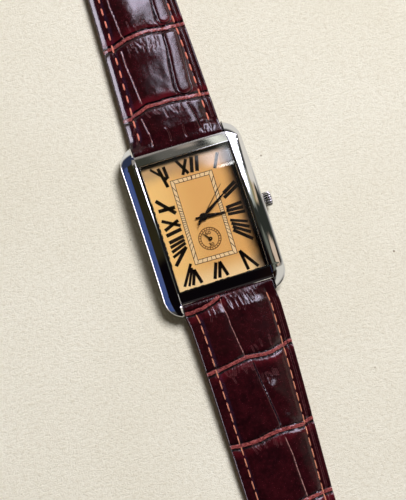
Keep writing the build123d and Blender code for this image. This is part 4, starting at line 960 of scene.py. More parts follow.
def half_width(s, long_half):
    """Half the plan width: a straight taper, and on the long half a narrowed, rounded tip."""
    w = 10.8 - 1.8 * np.clip(s / 70.0, 0, 1)
    if long_half:
        w = np.minimum(w, 9.0 - 5.5 * (s - 106.0) / 7.25)
        tip = np.sqrt(np.clip(tip_radius ** 2 - np.clip(s - tip_s, 0, None) ** 2, 0.02, None))
        w = np.where(s > 113.25, tip, w)
    return w


def edge_distance(u, s, long_half):
    """Distance from a point to the nearest plan edge."""
    e = 10.8 - 1.8 * np.clip(s / 70.0, 0, 1) - np.abs(u)
    if long_half:
        slanted = ((9.0 - np.abs(u)) * 7.25 + (106.0 - s) * 5.5) / 9.1
        rounded = tip_radius - np.hypot(u, np.clip(s - tip_s, 0, None))
        e = np.minimum(e, np.where(s > 113.25, rounded, slanted))
    return np.clip(e, 0, None)


def stations(s, length, end_drop):
    """Thickness of the strap at s and how far its middle drops, straight between a few stations."""
    at = [0.0, 3.2, 12.0, 47.0, length]
    height = np.interp(s, at, [3.64, 4.5, 4.5, 2.95, 2.4])
    drop = np.interp(s, at, [0.0, 0.0, 0.0, end_drop * 0.75, end_drop])
    return height, drop


def to_half(side, line):
    """A line of (x, y) points on the watch as (u, s) on its half."""
    p = np.asarray(line, dtype=float)
    if side > 0:
        return np.stack([p[:, 0] - short_bend(p[:, 1] - bar_y), p[:, 1] - bar_y], axis=1)
    s = -p[:, 1] - bar_y
    return np.stack([-(p[:, 0] + side_bend(s)), s], axis=1)


# lines of (x, y) on the watch, measured off the photograph and guessed beyond it: the strips pressed across
# each half
upper_grooves = [
    [
        (-10.8, 27.2), (-10.1, 27.1), (-8.6, 26.8), (-8.2, 27.3), (-4.4, 28.4), (0.3, 28.5), (4.4, 28.2),
        (7.1, 28.0), (9.9, 27.8),
    ],
    [
        (-9.8, 44.1), (-8.4, 44.2), (-7.6, 44.2), (-4.1, 45.3), (-1.2, 45.7), (1.2, 45.9), (4.6, 45.5),
        (6.7, 45.6), (9.5, 45.5),
    ],
    [(-9.8, 61.2), (-7.0, 61.0), (-3.5, 61.9), (0.5, 62.3), (4.0, 62.0), (9.4, 61.6)],
    [(-9.4, 78.3), (-6.8, 78.0), (-3.0, 78.9), (1.0, 79.2), (5.0, 78.8), (9.2, 78.5)],
]
lower_grooves = [
    [(-10.6, -19.8), (-8.9, -20.0), (-6.9, -19.9), (-4.6, -19.3), (-2.4, -18.4)],
    [
        (-9.9, -34.3), (-8.1, -34.1), (-7.5, -34.2), (-5.3, -33.9), (-2.8, -33.5), (-0.6, -33.2),
        (1.6, -33.6), (4.0, -33.8), (5.7, -33.7), (8.0, -33.2), (8.3, -33.3), (9.8, -32.7),
    ],
    [
        (-9.8, -51.4), (-7.8, -51.7), (-3.4, -51.7), (-0.6, -51.3), (1.6, -51.0), (4.2, -51.2),
        (7.0, -51.3), (8.9, -50.7),
    ],
    [(-10.2, -69.0), (-7.0, -68.6), (-3.0, -68.2), (2.8, -67.4), (6.0, -67.1), (8.0, -67.1)],
    [(-10.0, -86.8), (-6.0, -86.2), (-1.0, -85.8), (4.0, -86.2), (8.0, -85.6)],
    [(-10.0, -104.6), (-5.0, -104.0), (0.0, -104.4), (4.0, -103.8), (7.6, -104.2)],
    [(-10.0, -121.0), (-5.0, -120.6), (0.0, -121.2), (4.0, -120.8), (7.6, -121.0)],
]
# and the light and dark creases along it
upper_creases = [
    ("light", [(-5.2, 61.5), (-5.2, 52.9), (-4.9, 46.5), (-4.4, 45.7)]),
    ("light", [(-6.0, 43.0), (-5.9, 38.2), (-5.4, 32.3), (-5.2, 29.4)]),
    ("light", [(-6.3, 26.1), (-5.8, 22.5), (-5.7, 19.4)]),
    ("dark", [(4.4, 60.0), (4.4, 52.8), (4.1, 49.7), (3.9, 47.6), (4.7, 46.2)]),
    ("dark", [(4.4, 44.8), (4.3, 40.2), (3.5, 36.1), (3.0, 31.0), (3.2, 29.8)]),
    ("dark", [(5.0, 26.6), (5.7, 23.5), (6.4, 19.3)]),
    ("light", [(-4.6, 77.5), (-4.9, 70.0), (-5.1, 63.0)]),
    ("dark", [(4.2, 77.0), (4.6, 70.0), (4.2, 63.0)]),
    ("light", [(-4.2, 90.0), (-4.5, 80.0)]),
    ("dark", [(4.4, 90.0), (4.0, 80.5)]),
]
lower_creases = [
    ("light", [(-2.1, -19.0), (-1.8, -25.3), (-0.8, -32.7)]),
    ("dark", [(0.5, -34.9), (0.8, -39.0), (1.6, -45.0), (2.1, -50.5)]),
    ("light", [(2.3, -52.9), (2.7, -57.7), (3.0, -66.8)]),
    ("light", [(2.6, -69.5), (2.2, -78.0), (1.8, -85.0)]),
    ("dark", [(-5.6, -88.0), (-5.2, -96.0), (-5.6, -103.0)]),
    ("light", [(2.0, -88.0), (2.4, -96.0), (1.9, -103.0)]),
    ("light", [(-5.2, -105.5), (-5.6, -113.0), (-5.0, -120.0)]),
    ("dark", [(2.2, -105.5), (1.7, -113.0), (2.2, -120.0)]),
]
# gentle swellings (x, y, spread, rise) of the padded top
swellings = [
    (0.2, 51.5, 3.8, 0.36), (0.2, 41.0, 2.2, 0.12), (2.6, -41.8, 1.9, 0.5), (4.2, -49.0, 1.3, 0.22),
    (3.4, -21.0, 2.6, 0.25), (3.6, -56.5, 1.6, 0.1), (0.5, 70.0, 3.5, 0.3),
]
# raised scales beside the dark creases of the short half: centre line and half width
raised_scales = [
    ([(6.3, 60.5), (6.0, 52.0), (6.1, 46.9)], 1.6),
    ([(6.2, 44.6), (6.1, 40.0), (5.6, 35.0), (5.3, 31.5), (5.4, 29.2)], 1.75),
    ([(6.4, 77.2), (6.5, 70.0), (6.3, 63.2)], 1.6),
]


def wrinkles(seed, places, given):
    """Short bent lines (x0, y0, x1, y1, x2, y2): the given ones, and seeded ones that run from each strip
    into the panel beyond it. A place is (y of the strip, x from, x to, how many, +1 or -1 for the direction
    in y)."""
    random = np.random.default_rng(seed)
    lines = list(given)
    for y, low, high, count, way in places:
        for x in np.linspace(low, high, count) + random.uniform(-0.6, 0.6, count):
            length = random.uniform(0.5, 1.0) * random.uniform(0.9, 2.9)
            lean = random.uniform(-0.7, 0.8)
            start = y + way * random.uniform(0.9, 1.6)
            middle = (x + lean * random.uniform(0.0, 0.5), start + way * length * 0.5)
            lines.append((x, start, *middle, x + lean, start + way * length))
    return lines


upper_wrinkles = wrinkles(4, [
    (45.2, -4.8, 3.0, 13, -1), (44.2, -2.5, 3.0, 6, -1), (62.0, -4.2, 3.4, 10, -1), (28.2, -4.5, 3.8, 8, -1),
    (45.6, -3.0, 3.0, 4, 1),
], [
    (6.0, 21.9, 7.6, 22.4, 9.4, 21.5), (6.4, 20.7, 8.0, 21.3, 9.7, 20.4),
    (-1.4, 19.4, -1.1, 21.2, -1.8, 22.6), (2.4, 19.2, 2.0, 20.8, 2.3, 22.0),
    (-9.2, 21.0, -8.6, 21.6, -8.3, 22.6), (-9.3, 23.2, -8.8, 23.6, -8.4, 24.6),
    (3.3, 44.6, 1.8, 44.9, 0.8, 44.2), (0.4, 41.0, 1.2, 42.4, 2.4, 43.0),
])
lower_wrinkles = wrinkles(9, [
    (-33.6, -6.6, 0.4, 12, -1), (-36.5, 1.5, 5.0, 7, -1), (-51.3, -6.0, 1.0, 8, -1),
    (-68.0, -5.8, 1.8, 8, -1), (-33.5, 1.2, 5.4, 4, 1), (-86.2, -5, 5, 9, -1),
], [
    (-0.9, -18.7, 0.3, -19.8, 0.1, -21.6), (0.2, -18.5, 1.5, -19.9, 1.3, -22.4),
    (1.4, -18.4, 2.8, -19.8, 2.5, -22.8), (2.7, -18.4, 4.0, -19.6, 3.9, -22.0),
    (4.0, -18.4, 5.2, -19.4, 5.2, -21.4), (5.2, -18.6, 6.2, -19.6, 6.3, -21.0),
    (-5.4, -20.6, -5.2, -21.8, -5.6, -23.2), (-4.3, -20.2, -4.0, -21.4, -4.2, -22.6),
])


def soft_noise(u, s, cell_u, cell_s, seed):
    """Smooth noise between -1 and 1: seeded random values on a lattice with the given cells, eased between
    corners."""
    size = 64
    table = np.random.default_rng(seed).uniform(-1, 1, (size, size))
    a, b = u / cell_u + 31.7, s / cell_s + 17.3
    i, j = np.floor(a).astype(int), np.floor(b).astype(int)
    fa, fb = smooth(a - i, 0, 1), smooth(b - j, 0, 1)
    i, j, i1, j1 = i % size, j % size, (i + 1) % size, (j + 1) % size
    low = table[i, j] * (1 - fa) + table[i1, j] * fa
    high = table[i, j1] * (1 - fa) + table[i1, j1] * fa
    return low * (1 - fb) + high * fb


def sorted_line(side, line, axis):
    """A line on its half, in order along one axis."""
    p = to_half(side, line)
    return p[np.argsort(p[:, axis])]


def groove_depths(side, u, s):
    """Height taken away by the cross strips and lengthwise creases, and the distance to each kind. With a the
    distance to a strip's middle line, the strip lies 0.18 deep, its sides 0.4 at a = 0.62, and the panels
    beside it come back up as 0.4 exp(-(a - 0.62) / 0.42). A raised scale gives back 0.28 - 0.11 times the
    share across it, times 1 - r to the power 7 with r the share of the way to its rim."""
    strip_half = 0.62
    depth = np.zeros_like(u)
    groove_far = np.full_like(u, far_off)
    light_far, dark_far = groove_far.copy(), groove_far.copy()
    wander = soft_noise(u, s, 2.4, 3.0, 3 if side > 0 else 5)
    for line in (upper_grooves if side > 0 else lower_grooves):
        p = sorted_line(side, line, 0)
        far = s - np.interp(u, p[:, 0], p[:, 1]) + 0.12 * wander
        a = np.abs(far)
        beyond = np.zeros_like(u)
        if p[-1, 0] - p[0, 0] < 12:
            beyond = np.clip(p[0, 0] - u, 0, None) + np.clip(u - p[-1, 0], 0, None)
        strip = 0.18 + 0.22 * smooth(a, 0.3, strip_half)
        panel = 0.4 * np.exp(-np.clip(a - strip_half, 0, None) / 0.42)
        depth += np.exp(-(beyond / 0.9) ** 2) * np.where(a < strip_half, strip, panel)
        signed = np.where(far < 0, -1.0, 1.0) * np.hypot(far, beyond)
        groove_far = np.where(np.abs(signed) < np.abs(groove_far), signed, groove_far)
    for kind, line in (upper_creases if side > 0 else lower_creases):
        p = sorted_line(side, line, 1)
        far = u - np.interp(s, p[:, 1], p[:, 0]) + 0.1 * wander
        beyond = np.clip(p[0, 1] - s, 0, None) + np.clip(s - p[-1, 1], 0, None)
        away = np.hypot(far, beyond)
        profile = 0.1 * np.exp(-(far / 0.16) ** 2) + 0.09 * np.exp(-(far / 0.8) ** 2)
        depth += np.exp(-(beyond / 0.5) ** 2) * profile
        # the shader paints a highlight along light creases and a shade line along dark ones
        if kind == "light":
            light_far = np.minimum(light_far, away)
        else:
            dark_far = np.minimum(dark_far, away)
    if side > 0:
        for line, half in raised_scales:
            p = sorted_line(side, line, 1)
            across = (u - np.interp(s, p[:, 1], p[:, 0])) / half
            beyond = (np.clip(p[0, 1] + 1.3 - s, 0, None) + np.clip(s - p[-1, 1] + 1.3, 0, None)) / 1.5
            radial = np.hypot(across, beyond)
            depth -= (0.28 - 0.11 * across) * np.clip(1 - radial ** 7, 0, 1)
            # a painted shade line round the rim of each raised scale
            dark_far = np.minimum(dark_far, np.abs(radial - 1.02) * half)
    for x0, y0, x1, y1, x2, y2 in (upper_wrinkles if side > 0 else lower_wrinkles):
        t = np.linspace(0, 1, 7)[:, None]
        start, bend, end = np.array([x0, y0]), np.array([x1, y1]), np.array([x2, y2])
        p = to_half(side, start * (1 - t) ** 2 + bend * 2 * t * (1 - t) + end * t ** 2)
        (u_low, s_low), (u_high, s_high) = p.min(axis=0) - 1.5, p.max(axis=0) + 1.5
        near = (u > u_low) & (u < u_high) & (s > s_low) & (s < s_high)
        un, sn = u[near], s[near]
        away = np.full(un.shape, far_off)
        for (ua, sa), (ub, sb) in zip(p[:-1], p[1:]):
            along = (un - ua) * (ub - ua) + (sn - sa) * (sb - sa)
            k = np.clip(along / ((ub - ua) ** 2 + (sb - sa) ** 2), 0, 1)
            away = np.minimum(away, np.hypot(un - ua - k * (ub - ua), sn - sa - k * (sb - sa)))
        # the wrinkles beside the case are deeper, with a darker painted shade line
        deep, pale = (0.06, 0.09) if abs(y0) < 24 else (0.03, 0.12)
        depth[near] += deep * np.exp(-(away / 0.2) ** 2)
        dark_far[near] = np.minimum(dark_far[near], away + pale)
    layers = {"groove_far": groove_far, "groove_near": np.abs(groove_far)}
    layers |= {"light_far": light_far, "dark_far": dark_far}
    return depth, layers


def strap_top_height(side, u, s, e):
    """Upper face of the padded leather. A level edge strip, a stitched valley 2.25 in from the edge and a
    crowned pad that rises as 1 - (1 - across) to the power 5, less the grooves. Small folds lie by the case,
    and a fine fold 1.2 in from the right edge. The whole sways a little, tilts, falls away at its left edge,
    swells in places, and its outer edge is rounded off."""
    long_half, length, end_drop = half_of(side)
    height, drop = stations(s, length, end_drop)
    shoulder = smooth(s, 0.0, 3.2)
    loop_top = bar_z + np.sqrt(np.clip(loop_radius ** 2 - np.clip(s, None, 0) ** 2, 0.0, None))
    body_top = bar_z + height / 2 - drop
    top = np.where(s < 0, loop_top, loop_top * (1 - shoulder) + body_top * shoulder)
    base = bar_z - height / 2 - drop + lining_thick
    edge = top - (top - base) * 0.42 * smooth(s, -1.0, 3.0)
    across = np.clip((e - stitch_inset) / (half_width(s, long_half) - stitch_inset + 1e-6), 0, 1)
    pad = 1 - (1 - across) ** 5
    z = edge + (top - edge) * (0.30 + 0.70 * pad)
    ease = smooth(s, 0.0, 4.0)
    z -= 0.05 * ease * np.exp(-((e - stitch_inset) / 0.5) ** 2)
    depth, layers = groove_depths(side, u, s)
    live = smooth(s, -0.4, 1.5)
    x = u if side > 0 else -u
    fold = ease * np.where(x > 0, 1.0, 0.0)
    fold_far = e - 1.2 - 0.12 * soft_noise(u, s, 3, 6, 21)
    z -= 0.1 * fold * np.exp(-(fold_far / 0.16) ** 2)
    # a painted shade line along the fold
    fold_shade_line = np.where(fold > 0.9, np.abs(fold_far), far_off) + 0.05
    layers["dark_far"] = np.minimum(layers["dark_far"], fold_shade_line)
    z -= depth * live
    bent = x - 0.09 * np.clip(s, 0, None) ** 1.6
    ridge = np.clip(1 - 1.6 * np.abs(soft_noise(bent, s, 0.75, 3.6, 11)), 0, 1) ** 2
    small = np.clip(1 - 1.6 * np.abs(soft_noise(bent, s, 0.4, 1.8, 12)), 0, 1) ** 2
    if side > 0:
        reach = np.exp(-((s - 1.2) / 1.9) ** 2) * (0.45 + 0.55 * smooth(x, 4.5, 7.5))
    else:
        reach = np.exp(-((s - 1.0) / 3.0) ** 2) * smooth(x, -4.0, 0.0) * (1 - smooth(x, 5.0, 8.5))
        reach += 0.3 * np.exp(-((s - 1.2) / 1.6) ** 2)
    z += (0.09 * ridge + 0.04 * small) * reach * smooth(e, 0.8, 2.6) * smooth(s, -0.6, 0.6)
    z += (0.035 * soft_noise(u, s, 2.6, 4.2, 13) + 0.012 * soft_noise(u, s, 0.8, 1.1, 14)) * live
    if side > 0:
        tilted = 0.17 * (0.25 + 0.75 * smooth(s, 22.0, 30.0))
        z -= tilted * (x - 0.3) * np.exp(-((x - 0.3) / 5.0) ** 2) * ease
    z += np.where(x < 0, -0.1, 0.06) * ease * np.clip(2.2 - e, 0, None)
    facet = (0.72 if side > 0 else 0.1) * (x < 0)
    z -= facet * ease * np.clip(1.35 - np.clip(e, 0.1, None), 0, None)
    near = np.clip(0.3 - e, 0, None)
    z -= 0.3 - np.sqrt(0.09 - near ** 2)
    for px, py, spread, rise in swellings:
        pu, ps = to_half(side, [(px, py)])[0]
        if (py > 0) == (side > 0):
            z += rise * np.exp(-((u - pu) ** 2 + (s - ps) ** 2) / spread ** 2)
    if side > 0:
        over = np.clip(s - length, 0, 1.19)
        z -= smooth(s, length - 0.1, length + 0.1) * (1.2 - np.sqrt(1.44 - over ** 2))
    return z, layers


def strap_rows(length, long_half):
    """Stations along a half: eased round the bar's loop on the case's side, then close together along the
    body, and eased again round the tip or the fold over the buckle's bar."""
    loop = -1.8 * np.cos(np.linspace(0, np.pi / 2, 12))
    if long_half:
        body = np.concatenate([np.linspace(0, 58, 340)[1:], np.linspace(58, 112.5, 190)[1:]])
        end = 112.5 + 2.49 * np.sin(np.linspace(0, np.pi / 2, 14)[1:])
    else:
        body = np.concatenate([np.linspace(0, 45, 264)[1:], np.linspace(45, length, 106)[1:]])
        end = length + 1.15 * np.sin(np.linspace(0, np.pi / 2, 9)[1:])
    return np.concatenate([loop, body, end])


def across_columns():
    """Shares of the half width from one edge to the other, close together near both edges."""
    near_edge = 1 - np.array([0, .004, .012, .025, .042, .062, .085, .115, .15])
    middle = np.linspace(-0.83, 0.83, 129)
    return np.concatenate([-near_edge, middle, near_edge[::-1]])


def strap_leather(name, side):
    """Padded top leather as closed rows: the upper face, a wall down each edge and a level underside on the
    lining. Near the bar the underside follows the loop's circle instead."""
    long_half, length, end_drop = half_of(side)
    s_row = strap_rows(length, long_half)
    w = half_width(s_row, long_half)
    u = w[:, None] * across_columns()[None, :]
    s = np.broadcast_to(s_row[:, None], u.shape)
    e = edge_distance(u, s, long_half)
    z, layers = strap_top_height(side, u, s, e)
    height, drop = stations(s_row, length, end_drop)
    lining_top = bar_z - height / 2 - drop + lining_thick
    circle = bar_z - np.sqrt(np.clip(loop_radius ** 2 - s_row ** 2, 0, None))
    on_loop = np.minimum(circle, np.where(s_row < 0, far_off, lining_top))
    base = np.where(s_row < loop_radius, on_loop, lining_top)
    wall_t = np.array([0.3, 0.65, 0.93])
    right = z[:, -1][:, None] + (base - z[:, -1])[:, None] * wall_t[None, :]
    left = z[:, 0][:, None] + (base - z[:, 0])[:, None] * wall_t[None, ::-1]
    bottom_v = np.array([0.985, 0.6, 0.2, -0.2, -0.6, -0.985])
    walls = np.repeat(w[:, None], 3, axis=1)
    us = np.concatenate([u, walls, w[:, None] * bottom_v[None, :], -walls], axis=1)
    zs = np.concatenate([z, right, np.repeat(base[:, None], 6, axis=1), left], axis=1)
    ss = np.broadcast_to(s_row[:, None], us.shape)
    added = ((0, 0), (0, us.shape[1] - u.shape[1]))
    layers = {key: np.pad(value, added, constant_values=far_off) for key, value in layers.items()}
    points = place_half(side, us, ss, zs)
    rows, columns = us.shape
    faces = [grid_quads(rows, columns)] + end_caps(rows, columns)
    return mesh_from(name, points, faces, layers, sharp=40)


def strap_lining(name, side):
    """Flat lining, a little under 1.0 thick, with its long edges rounded, from the turned end to the strap's
    end."""
    long_half, length, end_drop = half_of(side)
    if long_half:
        tip = 110.0 + 4.94 * np.sin(np.linspace(0, np.pi / 2, 24)[1:])
        s_row = np.concatenate([np.linspace(1.9, 110.0, 180), tip])
    else:
        s_row = np.linspace(1.9, length, 180)
    height, drop = stations(s_row, length, end_drop)
    low = bar_z - height / 2 - drop
    w = half_width(s_row, long_half) - 0.06
    section = round_corners([(-1, 0), (1, 0), (1, 1), (-1, 1)], [0.25, 0.25, 0.1, 0.1], 5)
    corner = np.sign(section[:, 0])
    us = corner[None, :] * (w[:, None] - (1 - np.abs(section[:, 0]))[None, :])
    zs = low[:, None] + 0.985 * section[:, 1][None, :]
    ss = np.broadcast_to(s_row[:, None], us.shape)
    points = place_half(side, us, ss, zs)
    rows, columns = us.shape
    faces = [grid_quads(rows, columns)] + end_caps(rows, columns)
    return mesh_from(name, points, faces, sharp=35)


def slot_cutter(name):
    """Opening for the tongue, with a rounded inner end."""
    half, past_end = 1.3, 110.0
    a = np.linspace(np.pi, 2 * np.pi, 17)
    arc = np.stack([half * np.cos(a), bar_y + short_length - 3.2 + half + half * np.sin(a)], axis=1)
    plan = np.concatenate([arc, [(half, past_end), (-half, past_end)]])
    points = np.zeros((2, len(plan), 3))
    points[:, :, 0:2] = plan
    points[0, :, 2], points[1, :, 2] = -3.0, 9.0
    faces = [grid_quads(2, len(plan))] + end_caps(2, len(plan))
    return mesh_from(name, points, faces)


def hole_centres():
    """Seven holes, 6.5 apart, along the middle of the long half; the first is 26 from its end."""
    s = long_length - 26.0 - 6.5 * np.arange(7)
    return np.stack([-side_bend(s), -bar_y - s], axis=1)


def bore_cutter(y):
    """Bore for a spring bar, right across the strap."""
    return rods("bore", [(y, bar_z)], 0.79, -12.0, 12.0, "x")


def holes_cutter():
    """The punched holes, right through the strap."""
    return rods("holes", hole_centres(), 1.0, -3.0, 9.0, "z")


buckle_bar_y = bar_y + short_length
top_12 = strap_leather("strap_12_leather", 1)
cut(top_12, bore_cutter(bar_y))
cut(top_12, slot_cutter("slot"))
cut(top_12, bore_cutter(buckle_bar_y))
dress(top_12, leather, "strap_12", "strap_leather", "strap_12_top", "strap_12_filler")
lining_12 = strap_lining("strap_12_lining_hide", 1)
cut(lining_12, slot_cutter("slot"))
cut(lining_12, bore_cutter(buckle_bar_y))
dress(lining_12, lining_hide, "strap_12", "strap_lining", "strap_12_lining")

top_6 = strap_leather("strap_6_leather", -1)
cut(top_6, bore_cutter(-bar_y))
cut(top_6, holes_cutter())
dress(top_6, leather, "strap_6", "strap_leather", "strap_6_top", "strap_6_filler")
lining_6 = strap_lining("strap_6_lining_hide", -1)
cut(lining_6, holes_cutter())
dress(lining_6, lining_hide, "strap_6", "strap_lining", "strap_6_lining")


def stitch_line(side, first, last, pitch, dash, thick, arch):
    """Thread dashes along both stitched valleys. Each dash is a rounded rod that rises in an arc and dives at
    its ends."""
    rings, around = 9, 8
    start = np.arange(first, last, pitch)
    random = np.random.default_rng(7 if side > 0 else 8)
    count = len(start)
    t = np.linspace(0, 1, rings)
    a = np.linspace(0, 2 * np.pi, around, endpoint=False)
    pieces = []
    for hand in (-1, 1):
        begin = start + random.normal(0, 0.06, count)
        size = dash + random.normal(0, 0.07, count)
        s = begin[:, None] + size[:, None] * t[None, :]
        inset = stitch_inset + random.normal(0, 0.03, count)[:, None]
        u = hand * (half_width(s, False) - inset)
        z, _ = strap_top_height(side, u, s, edge_distance(u, s, False))
        z = z + arch * np.sqrt(np.clip(1 - (2 * t - 1) ** 4, 0, 1))[None, :]
        radius = thick / 2 * np.sqrt(np.clip(1 - (2 * t - 1) ** 6, 0.02, 1))
        us = u[:, :, None] + radius[None, :, None] * np.cos(a)[None, None, :]
        zs = z[:, :, None] + 0.7 * radius[None, :, None] * np.sin(a)[None, None, :]
        ss = np.broadcast_to(s[:, :, None], us.shape)
        pieces.append(place_half(side, us, ss, zs))
    points = np.concatenate(pieces).reshape(-1, 3)
    dash_faces = [grid_quads(rings, around)] + end_caps(rings, around)
    return points, [repeated(group, 2 * count, rings * around) for group in dash_faces]


stitch_points, stitch_faces = stitch_line(1, 2.6, 70.0, 3.1, 1.95, 0.42, 0.1)
stitch_12 = mesh_from("strap_12_stitches", stitch_points, stitch_faces, sharp=60)
coral = thread("thread_coral", shade(190, 92, 76), shade(232, 146, 124))
dress(stitch_12, coral, "strap_12", "strap_leather")
stitch_points, stitch_faces = stitch_line(-1, 1.8, 104.0, 2.6, 2.15, 0.3, 0.04)
stitch_6 = mesh_from("strap_6_stitches", stitch_points, stitch_faces, sharp=60)
tan = thread("thread_tan", shade(176, 98, 74), shade(216, 150, 120))
dress(stitch_6, tan, "strap_6", "strap_leather")


def leather_loop(name, body, solid):
    """Keeper: a rounded bar section carried round a rounded rectangle of its solid's size, whose outer face
    is sunk a little between its two long edges."""
    lower, upper = (np.array(corner) * 1000 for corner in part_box(solid))
    wall, half_long, flat = 0.9, 2.5, 0.42
    bend_steps, around = 12, 40
    half_x = (upper[0] - lower[0]) / 2 - wall / 2
    half_z = (upper[2] - lower[2]) / 2 - wall / 2
    middle = (upper + lower) / 2
    corners = [(-half_x, -half_z), (half_x, -half_z), (half_x, half_z), (-half_x, half_z)]
    path = round_corners(corners, [1.3] * 4, bend_steps)
    spans = np.linspace(0, 1, 22)[1:-1]
    dense = []
    for i in range(4):
        arc = path[bend_steps * i:bend_steps * (i + 1)]
        following = path[bend_steps * (i + 1) % len(path)]
        dense.append(arc)
        dense.append(arc[-1] + (following - arc[-1]) * spans[:, None])
    path = np.concatenate(dense)
    tangent = np.roll(path, -1, axis=0) - np.roll(path, 1, axis=0)
    tangent /= np.linalg.norm(tangent, axis=1)[:, None]
    outward = np.stack([tangent[:, 1], -tangent[:, 0]], axis=1)
    a = np.linspace(0, 2 * np.pi, around, endpoint=False)
    off = wall / 2 * np.sign(np.sin(a)) * np.abs(np.sin(a)) ** flat
    along = half_long * np.sign(np.cos(a)) * np.abs(np.cos(a)) ** flat
    edge_share = np.clip((half_long - np.abs(along)) / 0.8, 0, 1)
    sunk = 0.07 * (1 - np.cos(edge_share * np.pi)) / 2
    off = off - np.where(off > 0, sunk, 0)
    xs = middle[0] + path[:, 0][:, None] + outward[:, 0][:, None] * off[None, :]
    zs = middle[2] + path[:, 1][:, None] + outward[:, 1][:, None] * off[None, :]
    ys = np.broadcast_to(middle[1] + along[None, :], xs.shape)
    points = np.stack([xs, ys, zs], axis=-1)
    thing = mesh_from(name, points, [grid_quads(len(path), around, loop=True)], sharp=50)
    return dress(thing, leather, body, "strap_leather", solid)


leather_loop("keeper_fixed_loop", "strap_12", "fixed_keeper")
leather_loop("keeper_sliding_loop", "loose_keeper", "sliding_keeper")


# Table, lamp, surroundings and camera

def table_top():
    """One wide, level sheet of paper, just below the case."""
    reach, level = 2500, -0.02
    corners = [(-reach, -reach, level), (reach, -reach, level), (reach, reach, level), (-reach, reach, level)]
    mesh = bpy.data.meshes.new("paper_table")
    mesh.from_pydata([tuple(v / 1000 for v in corner) for corner in corners], [], [(0, 1, 2, 3)])
    thing = bpy.data.objects.new("paper_table", mesh)
    bpy.context.scene.collection.objects.link(thing)
    mesh.materials.append(paper())


table_top()


def area_lamp(name, place, size, power, colour):
    """A square lamp at a place in metres, aimed at the case and not mirrored in polished pieces."""
    lamp = bpy.data.lights.new(name, "AREA")
    lamp.shape = "RECTANGLE"
    lamp.size = lamp.size_y = size
    lamp.energy = power
    lamp.color = colour
    thing = bpy.data.objects.new(name, lamp)
    bpy.context.scene.collection.objects.link(thing)
    thing.location = place
    thing.rotation_euler = (-Vector(place)).to_track_quat("-Z", "Y").to_euler()
    thing.visible_glossy = False
    thing.visible_transmission = False


area_lamp("window_lamp", (0.42, 0.40, 1.0), 0.44, 16.4, (0.99, 1.0, 1.03))


